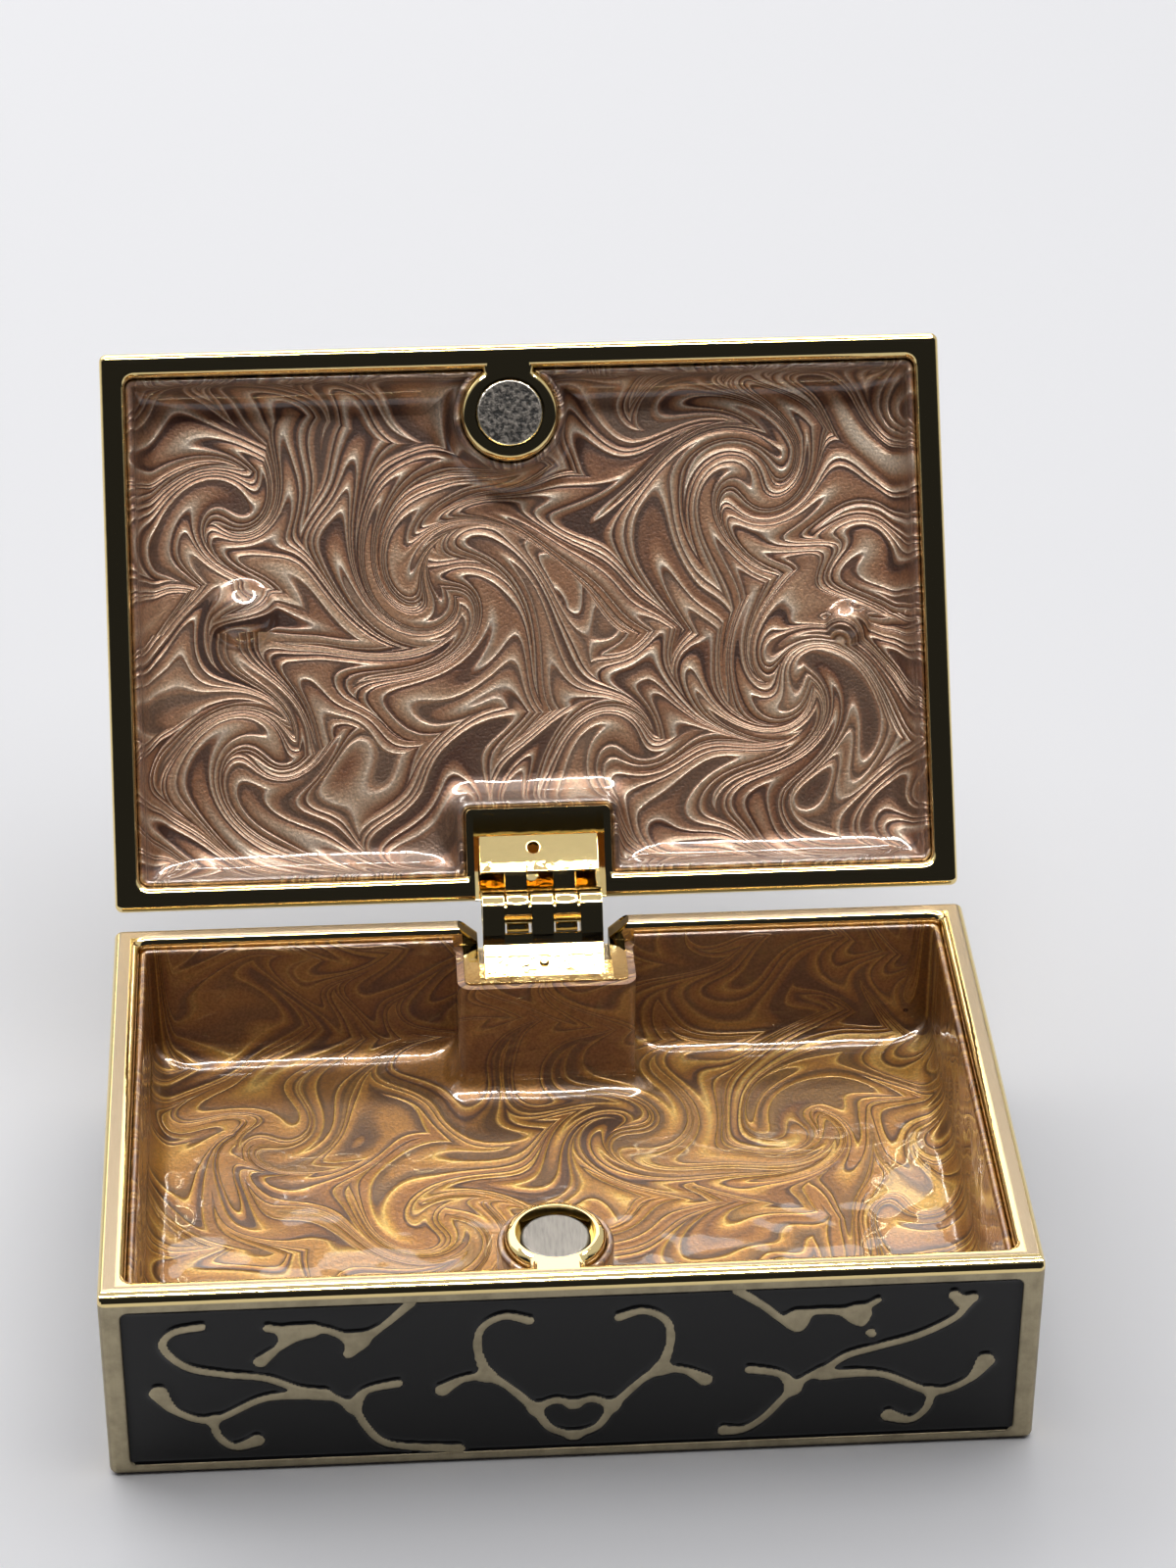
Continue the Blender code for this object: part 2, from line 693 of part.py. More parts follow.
def add_panel(name, casting, matrix, size, material, follow, strokes=(), line=1.0, heart=None):
    """A well in an outer face, the scrollwork that stands in it, and the enamel that fills it.

    Each stroke comes with its own size, line widens the scrollwork, and heart is the size of a
    closed heart, whose inside takes a drop of enamel of its own.
    """
    width, height = size
    well = add_cutter(
        f"{name}_well", panel_mesh("well", width, height, PANEL_CORNER, -WELL_DEPTH, WELL_DEPTH)
    )
    well.matrix_world = matrix
    follow(well)
    combine(casting, well)
    enamel = add_part(
        name,
        panel_mesh(
            name,
            width - 2 * ENAMEL_GAP,
            height - 2 * ENAMEL_GAP,
            PANEL_CORNER,
            ENAMEL_GAP - WELL_DEPTH,
            -ENAMEL_BELOW_FACE,
        ),
        material,
    )
    enamel.matrix_world = matrix
    follow(enamel)
    if not strokes:
        return
    raised = new_collection(f"{name}_scrolls", cutters)
    grown = new_collection(f"{name}_scroll_room", cutters)
    half_line = line * SCROLL_WIDTH / 2
    deep = WELL_DEPTH + ENAMEL_GAP
    raised_profile = scroll_profile(f"{name}_profile", half_line, -SCROLL_BELOW_FACE, deep)
    grown_profile = scroll_profile(f"{name}_room_profile", half_line + ENAMEL_GAP, ENAMEL_GAP, deep)
    for number, (stroke, stroke_size) in enumerate(strokes):
        for profile, collection, label in (
            (raised_profile, raised, "scroll"),
            (grown_profile, grown, "room"),
        ):
            mesh = stroke_mesh(f"{name}_{label}_{number + 1}", stroke, stroke_size, profile)
            piece = add_cutter(mesh.name, mesh, collection)
            piece.matrix_world = matrix
            follow(piece)
    combine(casting, raised, "UNION")
    combine(enamel, grown)
    if heart:
        outline = heart_outline(heart)
        inside = add_cutter(f"{name}_heart_inside", plate_mesh("inside", outline, 2 * WELL_DEPTH))
        inside.matrix_world = matrix
        follow(inside)
        combine(enamel, inside)
        low, high = ENAMEL_GAP - WELL_DEPTH, -ENAMEL_BELOW_FACE
        raise_it = Matrix.Translation((0.0, 0.0, (low + high) / 2))
        drop = add_part(
            f"{name}_heart", plate_mesh("drop", outline, (high - low) / 2, raise_it), material
        )
        drop.matrix_world = matrix
        follow(drop)
        combine(drop, grown)


def on_both_sides(strokes, size):
    return [(stroke, (side * size[0], size[1])) for side in (-1, 1) for stroke in strokes]


def in_four_corners(strokes, size):
    return on_both_sides(strokes, size) + on_both_sides(strokes, (size[0], -size[1]))


def stay(_piece):
    """Pieces of the base stay where they are."""


def turn_with_lid(piece):
    """Pieces of the lid hang from the empty on the hinge's axis."""
    piece.parent = hinge_axis
    piece.matrix_parent_inverse = Matrix.Translation(-AXIS)


clear_scene()
parts = new_collection("trinket_box")
cutters = new_collection("cutters")

hinge_axis = bpy.data.objects.new("hinge_axis", None)
hinge_axis.location = AXIS
hinge_axis.empty_display_size = 5 * MM
parts.objects.link(hinge_axis)

satin_gilt = new_material("satin_gilt_plate", (0.62, 0.52, 0.32), 1.0, 0.38)
bright_gilt = new_material("bright_gilt_plate", (0.86, 0.66, 0.30), 1.0, 0.12)
black_enamel = new_material("black_enamel", (0.012, 0.011, 0.011), 0.0, 0.25)
honey_enamel = new_material("honey_pearl_enamel", (0.42, 0.20, 0.05), 0.2, 0.15)
mauve_enamel = new_material("mauve_pearl_enamel", (0.22, 0.12, 0.09), 0.2, 0.15)
steel = new_material("brushed_steel", (0.42, 0.41, 0.38), 1.0, 0.45)
sintered = new_material("sintered_magnet", (0.06, 0.055, 0.05), 0.6, 0.7)

base_casting = add_part("base_casting", outer_block("base_casting", BASE), satin_gilt)
cut_half(base_casting, BASE, stay)
add_disc(
    "base_steel_disc", BASE, DISC_RADIUS, DISC_THICKNESS, DISC_BELOW_RIM, steel, base_casting, stay
)
add_lining(BASE, honey_enamel, stay)

lid_casting = add_part("lid_casting", outer_block("lid_casting", LID), satin_gilt)
turn_with_lid(lid_casting)
cut_half(lid_casting, LID, turn_with_lid)
add_disc(
    "lid_magnet",
    LID,
    MAGNET_RADIUS,
    MAGNET_THICKNESS,
    MAGNET_BELOW_RIM,
    sintered,
    lid_casting,
    turn_with_lid,
)
add_lining(LID, mauve_enamel, turn_with_lid)

base_notch = BARREL_RADIUS + HINGE_GAP
add_leaf("hinge_base_leaf", -1, (0, 2, 4), base_notch, base_notch, bright_gilt, stay)
lid_leaf = add_leaf(
    "hinge_lid_leaf", 1, (1, 3), LID_NOTCH_REACH, LEAF_DROP + LEAF_LENGTH, bright_gilt, turn_with_lid
)
drill_rivet_hole(lid_leaf, 1, turn_with_lid)
along_axis = Matrix.Translation(AXIS) @ Matrix.Rotation(math.radians(90), 4, "Y")
pin = cylinder_mesh("hinge_pin", PIN_RADIUS, HINGE_WIDTH, BARREL_SIDES, along_axis)
add_part("hinge_pin", pin, bright_gilt)

front_panel_height = BASE_HEIGHT - PANEL_FOOT_FRAME - PANEL_HEAD_FRAME
back_panel_height = BASE_HEIGHT - PANEL_FOOT_FRAME - BACK_PANEL_HEAD_FRAME
lid_panel_height = LID_HEIGHT - 2 * LID_SIDE_FRAME
long_panel = BOX_WIDTH - 2 * PANEL_SIDE_FRAME
short_panel = BOX_DEPTH - 2 * PANEL_SIDE_FRAME
front_middle = PANEL_FOOT_FRAME + front_panel_height / 2
back_middle = PANEL_FOOT_FRAME + back_panel_height / 2
lid_middle = LID.level(LID_HEIGHT / 2)

front_size = (long_panel / 2, front_panel_height)
front_strokes = on_both_sides(HEART + HEART_SCROLLS + BRANCH, front_size)
front_strokes += [(stroke, (-front_size[0], front_size[1])) for stroke in LEFT_TWIGS]
front_strokes += [(stroke, front_size) for stroke in RIGHT_TWIGS]
add_panel(
    "base_front_enamel",
    base_casting,
    face_matrix((0.0, -BOX_DEPTH / 2, front_middle), (1, 0, 0), (0, 0, 1)),
    (long_panel, front_panel_height),
    black_enamel,
    stay,
    front_strokes,
    heart=front_size,
)
add_panel(
    "base_back_enamel",
    base_casting,
    face_matrix((0.0, BOX_DEPTH / 2, back_middle), (-1, 0, 0), (0, 0, 1)),
    (long_panel, back_panel_height),
    black_enamel,
    stay,
)
for name, side in (("base_left_enamel", -1), ("base_right_enamel", 1)):
    add_panel(
        name,
        base_casting,
        face_matrix((side * BOX_WIDTH / 2, 0.0, front_middle), (0, side, 0), (0, 0, 1)),
        (short_panel, front_panel_height),
        black_enamel,
        stay,
        on_both_sides(SIDE_SCROLLS, (short_panel / 2, front_panel_height)),
    )

top_size = (0.75 * long_panel, 0.66 * short_panel)
top_strokes = on_both_sides(HEART + HEART_SCROLLS, top_size)
top_strokes += in_four_corners(CORNER_TWIGS, (long_panel / 2, short_panel))
add_panel(
    "lid_top_enamel",
    lid_casting,
    face_matrix((0.0, 0.0, LID.level(LID_HEIGHT)), (1, 0, 0), (0, 1, 0)),
    (long_panel, short_panel),
    black_enamel,
    turn_with_lid,
    top_strokes,
    line=1.3,
    heart=top_size,
)
add_panel(
    "lid_front_enamel",
    lid_casting,
    face_matrix((0.0, -BOX_DEPTH / 2, lid_middle), (1, 0, 0), (0, 0, 1)),
    (long_panel, lid_panel_height),
    black_enamel,
    turn_with_lid,
)
for name, side in (("lid_left_enamel", -1), ("lid_right_enamel", 1)):
    add_panel(
        name,
        lid_casting,
        face_matrix((side * BOX_WIDTH / 2, 0.0, lid_middle), (0, side, 0), (0, 0, 1)),
        (short_panel, lid_panel_height),
        black_enamel,
        turn_with_lid,
    )

hinge_axis.rotation_euler.x = math.radians(-OPEN_ANGLE)
bpy.context.view_layer.update()
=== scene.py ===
import json
import math
from types import SimpleNamespace

import bmesh
import bpy
from mathutils import Matrix, Vector


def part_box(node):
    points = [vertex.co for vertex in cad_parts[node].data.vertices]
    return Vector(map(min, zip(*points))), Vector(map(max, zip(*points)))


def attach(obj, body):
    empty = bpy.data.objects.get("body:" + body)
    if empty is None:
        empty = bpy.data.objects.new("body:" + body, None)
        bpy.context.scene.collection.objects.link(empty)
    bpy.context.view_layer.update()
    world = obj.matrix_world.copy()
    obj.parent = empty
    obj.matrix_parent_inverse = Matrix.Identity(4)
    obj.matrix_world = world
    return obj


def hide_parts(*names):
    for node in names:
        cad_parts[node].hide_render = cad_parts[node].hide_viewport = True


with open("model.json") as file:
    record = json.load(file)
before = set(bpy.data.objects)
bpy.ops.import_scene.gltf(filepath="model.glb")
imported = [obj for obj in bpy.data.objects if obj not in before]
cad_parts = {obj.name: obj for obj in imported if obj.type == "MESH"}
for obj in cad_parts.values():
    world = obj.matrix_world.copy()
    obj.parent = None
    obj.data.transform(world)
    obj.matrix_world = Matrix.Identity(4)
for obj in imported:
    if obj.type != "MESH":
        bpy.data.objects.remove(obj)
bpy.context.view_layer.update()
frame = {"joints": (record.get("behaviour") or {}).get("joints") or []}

MM = 0.001

# The view. A phone is held about 300 mm from the box, before it, above it and a little to its left,
# and looks down on it. Its turns are in degrees.
CAMERA_AT = Vector((-13.21, -230.31, 194.75)) * MM
CAMERA_YAW, CAMERA_PITCH, CAMERA_ROLL = 3.8, 33.735, 0.271
FOCAL_PIXELS = 4304.0
PHOTO_HEIGHT_PIXELS = 1600.0
SENSOR_MM = 36.0


def turned(angle, axis):
    """A turn about an axis, in degrees."""
    return Matrix.Rotation(math.radians(angle), 4, axis)


camera_data = bpy.data.cameras.new("camera")
camera_data.sensor_width = SENSOR_MM
camera_data.lens = SENSOR_MM * FOCAL_PIXELS / PHOTO_HEIGHT_PIXELS
camera_data.clip_start = 1 * MM
camera = bpy.data.objects.new("camera", camera_data)
camera.matrix_world = (
    Matrix.Translation(CAMERA_AT)
    @ turned(-CAMERA_YAW, "Z")
    @ turned(90 - CAMERA_PITCH, "X")
    @ turned(CAMERA_ROLL, "Z")
)
bpy.context.scene.collection.objects.link(camera)
bpy.context.scene.camera = camera
bpy.context.scene.view_settings.view_transform = "Standard"


# The ground. A sheet of matt white paper lies flat under the box and fills the view. Paper fibres
# scatter light evenly, so it has next to no gloss and takes soft shadows.
SHEET_HALF_WIDTH = 4000 * MM
PAPER_WHITE = "f3f3f5"
SMOOTH_ANGLE = 35.0
# Where a Mix node's two colours and its two numbers lie among its inputs.
COLOUR_A, COLOUR_B = 6, 7
NUMBER_A, NUMBER_B = 2, 3


def linear(hex_colour):
    """An sRGB hex colour as the linear RGBA that the shaders take."""
    shares = [int(hex_colour[i : i + 2], 16) / 255 for i in (0, 2, 4)]
    return [*(s / 12.92 if s <= 0.04045 else ((s + 0.055) / 1.055) ** 2.4 for s in shares), 1.0]


def set_inputs(node, inputs):
    """Sets a node's inputs. Each takes a value, a socket, or a node, whose result it then reads."""
    for key, value in inputs.items():
        if isinstance(value, bpy.types.Node):
            value = next(socket for socket in value.outputs if socket.enabled)
        if isinstance(value, bpy.types.NodeSocket):
            node.id_data.links.new(value, node.inputs[key])
        else:
            node.inputs[key].default_value = value


def add_node(tree, kind, inputs=None, **settings):
    """Adds a shader node with its settings and its inputs."""
    made = tree.nodes.new("ShaderNode" + kind)
    for key, value in settings.items():
        setattr(made, key, value)
    set_inputs(made, inputs or {})
    return made


def new_material(name):
    """A material, its node tree, its Principled shader and its Object coordinates in millimetres."""
    made = bpy.data.materials.new(name)
    made.use_nodes = True
    tree = made.node_tree
    place = add_node(tree, "TexCoord").outputs["Object"]
    in_mm = add_node(tree, "VectorMath", {0: place, 1: (1 / MM,) * 3}, operation="MULTIPLY")
    return made, tree, tree.nodes["Principled BSDF"], in_mm


def new_object(name, bm, material, smooth_angle=SMOOTH_ANGLE):
    """A mesh object at the origin from a bmesh, with every edge below the angle shaded smooth."""
    mesh = bpy.data.meshes.new(name)
    bm.to_mesh(mesh)
    bm.free()
    mesh.shade_smooth()
    mesh.set_sharp_from_angle(angle=math.radians(smooth_angle))
    mesh.materials.append(material)
    made = bpy.data.objects.new(name, mesh)
    bpy.context.scene.collection.objects.link(made)
    flat = made.modifiers.new("flat_faces", "WEIGHTED_NORMAL")
    flat.keep_sharp = True
    return made


sheet_bm = bmesh.new()
bmesh.ops.create_grid(sheet_bm, x_segments=1, y_segments=1, size=SHEET_HALF_WIDTH)
paper, _, paper_shader, _ = new_material("matt_white_paper")
set_inputs(paper_shader, {"Base Color": linear(PAPER_WHITE), "Roughness": 0.9, "Specular IOR Level": 0.1})
table = new_object("sheet", sheet_bm, paper)

# The room. It is bright behind and above the box, and dark on the camera's side, which the polished
# rims mirror. The middle of the bright side is tilted back from overhead.
ROOM_BRIGHT, ROOM_DARK = linear("f2f2f4"), linear("2a2c33")
ROOM_STRENGTH = 0.74
BRIGHT_TILT = math.radians(72.0)
DARK_BELOW, BRIGHT_ABOVE = -0.12, 0.2

world = bpy.data.worlds.new("room")
world.use_nodes = True
bpy.context.scene.world = world
room = world.node_tree
direction = add_node(room, "TexCoord").outputs["Generated"]
bright_middle = (0.0, math.sin(BRIGHT_TILT), math.cos(BRIGHT_TILT))
behind = add_node(room, "VectorMath", {0: direction, 1: bright_middle}, operation="DOT_PRODUCT")
bright = add_node(
    room,
    "MapRange",
    {"Value": behind, "From Min": DARK_BELOW, "From Max": BRIGHT_ABOVE},
    interpolation_type="SMOOTHSTEP",
)
tone = add_node(room, "Mix", {0: bright, COLOUR_A: ROOM_DARK, COLOUR_B: ROOM_BRIGHT}, data_type="RGBA")
set_inputs(room.nodes["Background"], {"Color": tone, "Strength": ROOM_STRENGTH})

# The lamps. A ring of bright LEDs hangs over the box, and the enamel mirrors it as a dashed loop.
# Its light falls from a soft sheet at the same height, and a soft panel behind the box lights the
# paper there. Each LED run is its place along the ring and its length, in millimetres.
RING_AT = Vector((0.0, 90.0, 420.0)) * MM
RING_RADIUS = 182.0 * MM
RUN_COUNT = 44
LED_WIDE = 50.0 * MM
LED_RUNS = ((0.0, 9.0), (9.75, 4.5), (16.2, 2.2))
LED_STRENGTH = 60.0

ring_bm = bmesh.new()
for along, long in LED_RUNS:
    led_verts = bmesh.ops.create_grid(ring_bm, x_segments=1, y_segments=1, size=0.5)["verts"]
    bmesh.ops.transform(ring_bm, matrix=Matrix.Diagonal((LED_WIDE, -long * MM, 1.0, 1.0)), verts=led_verts)
    round_ring = Matrix.Rotation(along * MM / RING_RADIUS, 4, "Z")
    place = Matrix.Translation(RING_AT) @ round_ring @ Matrix.Translation((RING_RADIUS, 0.0, 0.0))
    bmesh.ops.transform(ring_bm, matrix=place, verts=led_verts)
bmesh.ops.spin(
    ring_bm,
    geom=ring_bm.verts[:] + ring_bm.edges[:] + ring_bm.faces[:],
    cent=RING_AT,
    axis=(0, 0, 1),
    angle=math.radians(360.0 * (RUN_COUNT - 1) / RUN_COUNT),
    steps=RUN_COUNT - 1,
    use_duplicate=True,
)
led, _, led_shader, _ = new_material("led_light")
set_inputs(
    led_shader,
    {
        "Base Color": linear("000000"),
        "Emission Color": linear("fffaf4"),
        "Emission Strength": LED_STRENGTH,
    },
)
ring = new_object("led_ring", ring_bm, led)
ring.visible_diffuse = False


def area_lamp(name, at, target, size, power):
    """A rectangular lamp at a place, turned to its target."""
    data = bpy.data.lights.new(name, "AREA")
    data.shape = "RECTANGLE"
    data.size, data.size_y = size
    data.energy = power
    lamp = bpy.data.objects.new(name, data)
    lamp.location = at
    lamp.rotation_euler = (Vector(target) - lamp.location).to_track_quat("-Z", "Y").to_euler()
    bpy.context.scene.collection.objects.link(lamp)
    return lamp


area_lamp("back_panel", at=(-0.25, 0.62, 0.48), target=(0.0, 0.12, 0.0), size=(1.3, 0.5), power=3.8)
ring_glow = area_lamp("ring_glow", at=(0.07, 0.0, 0.42), target=(0, 0, 0), size=(0.34, 0.34), power=0.5)
ring_glow.visible_glossy = False


# Base casting. Zinc alloy, cast in one with its hinge block, its seat for the catch and the
# scrollwork of its faces, then gilt. The lands are dressed on a belt and stay satin, and the
# rounded lip inside them is polished.
BOX_WIDTH, BOX_DEPTH, BASE_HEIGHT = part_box("base_casting")[1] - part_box("base_casting")[0]
RIM_WIDTH = 1.8 * MM
LIP_RADIUS = 0.58 * MM
BLOCK_LIP_RADIUS = 0.4 * MM
CAVITY_CORNER = 0.7 * MM
INNER_CORNER = 0.3 * MM
LINING_WALL = 0.55 * MM
CORNER_GROWTH = 1.5
FRONT_SLOPE, FRONT_NOSE, FRONT_TURN = 1.25 * MM, 0.5 * MM, 132.0
BLOCK_CORNER = 0.45 * MM
OUTER_CORNER = 0.53 * MM
OUTER_EDGE = 0.51 * MM
CATCH_NECK = 1.9 * MM
BARREL_RADIUS = 1.6 * MM
LEAF_THICKNESS = 0.6 * MM
LEAF_DROP = 2.14 * MM
LEAF_LENGTH = 4.9 * MM
LEAF_SLOPE = math.radians(30)
LEAF_PLAY, POCKET_PLAY = 0.1 * MM, 0.4 * MM
UNDER_LEAF = LEAF_THICKNESS + LEAF_PLAY
NOTCH_FLARE = 1.6 * MM
ARC_STEPS = 6
SEAT_STEPS = 48
LIP_STEPS = 6
BEVEL_STEPS = 4
BAR_STEPS = 3
DISC_SIDES = 64
LINING_SMOOTH_ANGLE = 50.0
LEAST_CORNER = 0.25 * CAVITY_CORNER
HEEL_GROWTH = 0.7
SOFT_EDGE, SOFT_STEPS = 0.2 * MM, 3
SOFT_ABOVE = math.radians(40)
WELD = 0.001 * MM

HINGE_AT = Vector(frame["joints"][0]["pos_m"])
POCKET_HALF_WIDTH = (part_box("hinge_pin")[1].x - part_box("hinge_pin")[0].x) / 2 + POCKET_PLAY
CATCH_AT = (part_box("base_steel_disc")[0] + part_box("base_steel_disc")[1]) / 2

BASE = SimpleNamespace(
    rim=BASE_HEIGHT,
    inward=-1,
    height=BASE_HEIGHT,
    floor=4.3 * MM,
    back_rim=1.5 * MM,
    pocket_front=14.907 * MM,
    block_front=0.7 * MM,
    block_side=1.1 * MM,
    block_drop=1.35 * MM,
    seat_radius=3.35 * MM,
    bore_radius=2.68 * MM,
    bore_depth=1.3 * MM,
)


def arc(centre, radius, start, end, steps):
    """Points along an arc, angles in degrees from +X."""
    angles = [math.radians(start + (end - start) * i / steps) for i in range(steps + 1)]
    return [(centre[0] + radius * math.cos(a), centre[1] + radius * math.sin(a)) for a in angles]


def cavity_outline(half, inset):
    """The cavity's plan, drawn in by inset: a rectangle less the hinge block and the catch's seat."""
    side = BOX_WIDTH / 2 - RIM_WIDTH - inset
    front = RIM_WIDTH - BOX_DEPTH / 2 + inset
    back = BOX_DEPTH / 2 - half.back_rim - inset
    pooled = CORNER_GROWTH * max(inset - LINING_WALL, 0.0)
    corner = max(CAVITY_CORNER - inset, LEAST_CORNER) + pooled
    heel = INNER_CORNER + HEEL_GROWTH * pooled
    block_inset = max(inset, -BLOCK_LIP_RADIUS)
    block_half = POCKET_HALF_WIDTH + half.block_side + block_inset
    block_y = half.pocket_front - half.block_front - block_inset
    turn = BLOCK_CORNER + max(inset, 0.0)
    seat = half.seat_radius + inset
    to_wall = CATCH_AT.y - front
    joint = max(CATCH_NECK + inset, math.sqrt(max(seat**2 - to_wall**2, 0.0)) + WELD)
    reach = math.degrees(math.acos(joint / seat))
    left, right = HINGE_AT.x - block_half, HINGE_AT.x + block_half
    outline = arc((right + heel, back - heel), heel, 180, 90, ARC_STEPS)
    outline += arc((side - corner, back - corner), corner, 90, 0, ARC_STEPS)
    outline += arc((side - corner, front + corner), corner, 0, -90, ARC_STEPS)
    outline += [(CATCH_AT.x + joint, front)]
    outline += arc(CATCH_AT, seat, -reach, 180 + reach, SEAT_STEPS)
    outline += [(CATCH_AT.x - joint, front)]
    outline += arc((corner - side, front + corner), corner, -90, -180, ARC_STEPS)
    outline += arc((corner - side, back - corner), corner, 180, 90, ARC_STEPS)
    outline += arc((left - heel, back - heel), heel, 90, 0, ARC_STEPS)
    outline += arc((left + turn, block_y + turn), turn, 180, 270, ARC_STEPS)
    outline += arc((right - turn, block_y + turn), turn, -90, 0, ARC_STEPS)
    return outline


def loft(half, sections):
    """A closed bmesh down through the cavity's plan, each section an inset and a depth below the rim."""
    bm = bmesh.new()
    rings = []
    for inset, depth in sections:
        z = half.rim + half.inward * depth
        ring = [bm.verts.new((x, y, z)) for x, y in cavity_outline(half, inset)]
        rings.append([bm.edges.new(pair) for pair in zip(ring, ring[1:] + ring[:1])])
    for upper, lower in zip(rings, rings[1:]):
        bmesh.ops.bridge_loops(bm, edges=upper + lower)
    for ring in (rings[0], rings[-1]):
        bmesh.ops.contextual_create(bm, geom=ring)
    bmesh.ops.recalc_face_normals(bm, faces=bm.faces)
    return bm


def block(low, high, corner=0.0, edge=0.0):
    """A box between two corners, its upright edges rounded by corner and its other edges by edge."""
    bm = bmesh.new()
    bmesh.ops.create_cube(bm, size=1.0)
    low, high = Vector(low), Vector(high)
    bmesh.ops.transform(bm, matrix=Matrix.Diagonal((*(high - low), 1.0)), verts=bm.verts)
    bmesh.ops.translate(bm, vec=(low + high) / 2, verts=bm.verts)
    if corner:
        upright = [e for e in bm.edges if abs((e.verts[0].co - e.verts[1].co).normalized().z) > 0.9]
        bmesh.ops.bevel(
            bm,
            geom=upright,
            offset=corner,
            segments=BEVEL_STEPS,
            profile=0.5,
            affect="EDGES",
            material=-1,
        )
    if edge:
        rims = {e for f in bm.faces if abs(f.normal.z) > 0.9 for e in f.edges}
        bmesh.ops.bevel(
            bm,
            geom=list(rims),
            offset=edge,
            segments=BEVEL_STEPS,
            profile=0.5,
            affect="EDGES",
            material=-1,
        )
    return bm


def prism(points, half_thickness, place):
    """A flat outline, extruded to both sides of its own plane and then placed by a matrix."""
    bm = bmesh.new()
    face = bm.faces.new([bm.verts.new((x, y, -half_thickness)) for x, y in points])
    grown = bmesh.ops.extrude_face_region(bm, geom=[face], use_keep_orig=True)["geom"]
    moved = [v for v in grown if isinstance(v, bmesh.types.BMVert)]
    bmesh.ops.translate(bm, vec=(0.0, 0.0, 2 * half_thickness), verts=moved)
    bmesh.ops.transform(bm, matrix=place, verts=bm.verts)
    bmesh.ops.recalc_face_normals(bm, faces=bm.faces)
    return bm


def round_bar(radius, length, place, sides=48, edge=0.0):
    """A round bar along its own Z, centred, with its rims rounded by edge."""
    bm = bmesh.new()
    bmesh.ops.create_cone(bm, cap_ends=True, segments=sides, radius1=radius, radius2=radius, depth=length)
    if edge:
        rims = {e for f in bm.faces if len(f.verts) > 4 for e in f.edges}
        bmesh.ops.bevel(
            bm,
            geom=list(rims),
            offset=edge,
            segments=BAR_STEPS,
            profile=0.5,
            affect="EDGES",
            material=-1,
        )
    bmesh.ops.transform(bm, matrix=place, verts=bm.verts)
    return bm


def cut(bm, tool):
    """One bmesh cut by another. Both are used up, and the result is a new one."""
    pair = []
    for source in (bm, tool):
        mesh = bpy.data.meshes.new("work")
        source.to_mesh(mesh)
        source.free()
        pair.append(bpy.data.objects.new("work", mesh))
        bpy.context.scene.collection.objects.link(pair[-1])
    step = pair[0].modifiers.new("cut", "BOOLEAN")
    step.operation = "DIFFERENCE"
    step.solver = "EXACT"
    step.object = pair[1]
    bpy.context.view_layer.update()
    result = bmesh.new()
    result.from_object(pair[0], bpy.context.evaluated_depsgraph_get())
    for used in pair:
        bpy.data.objects.remove(used)
    bmesh.ops.remove_doubles(result, verts=result.verts, dist=WELD)
    return result


def soften(bm, width, steps, inside=lambda at: True):
    """Rounds the sharp edges whose middle lies where inside says, or all of them."""
    edges = [e for e in bm.edges if e.is_manifold and e.calc_face_angle() > SOFT_ABOVE]
    edges = [e for e in edges if inside((e.verts[0].co + e.verts[1].co) / 2)]
    bmesh.ops.bevel(
        bm,
        geom=edges,
        offset=width,
        segments=steps,
        profile=0.5,
        affect="EDGES",
        material=-1,
        clamp_overlap=True,
    )


def face_matrix(origin, right, up):
    """A face's own frame: X across it, Y up it, Z out of the box."""
    right, up = Vector(right), Vector(up)
    matrix = Matrix((right, up, right.cross(up))).transposed().to_4x4()
    matrix.translation = origin
    return matrix


def lip(radius):
    """The rounded lip round a mouth, as insets and depths from the land down to the wall."""
    turns = [math.radians(90 * i / LIP_STEPS) for i in range(LIP_STEPS + 1)]
    return [(radius * (math.sin(a) - 1), radius * (1 - math.cos(a))) for a in turns]


def hinge_pocket(half):
    """The pocket from the side: level under the barrel, sloping under the leaf, open at the rim."""
    heel = BARREL_RADIUS - LEAF_THICKNESS
    along = (UNDER_LEAF * math.sin(LEAF_SLOPE) - LEAF_THICKNESS) / math.cos(LEAF_SLOPE)
    lift = UNDER_LEAF * math.cos(LEAF_SLOPE)
    toe = BARREL_RADIUS + LEAF_LENGTH * math.cos(LEAF_SLOPE) - UNDER_LEAF * math.sin(LEAF_SLOPE)
    shallow = LEAF_DROP + lift + along * math.sin(LEAF_SLOPE)
    deep = LEAF_DROP + lift + LEAF_LENGTH * math.sin(LEAF_SLOPE)
    end = HINGE_AT.y - half.pocket_front
    corners = [(-BARREL_RADIUS, shallow), (heel, shallow), (toe, deep), (end, deep)]
    corners += [(end, -half.height), (-BARREL_RADIUS, -half.height)]
    profile = [(HINGE_AT.y - run, HINGE_AT.z + half.inward * drop) for run, drop in corners]
    sideways = Matrix(((0, 0, 1, HINGE_AT.x), (1, 0, 0, 0), (0, 1, 0, 0), (0, 0, 0, 1)))
    return prism(profile, POCKET_HALF_WIDTH, sideways)


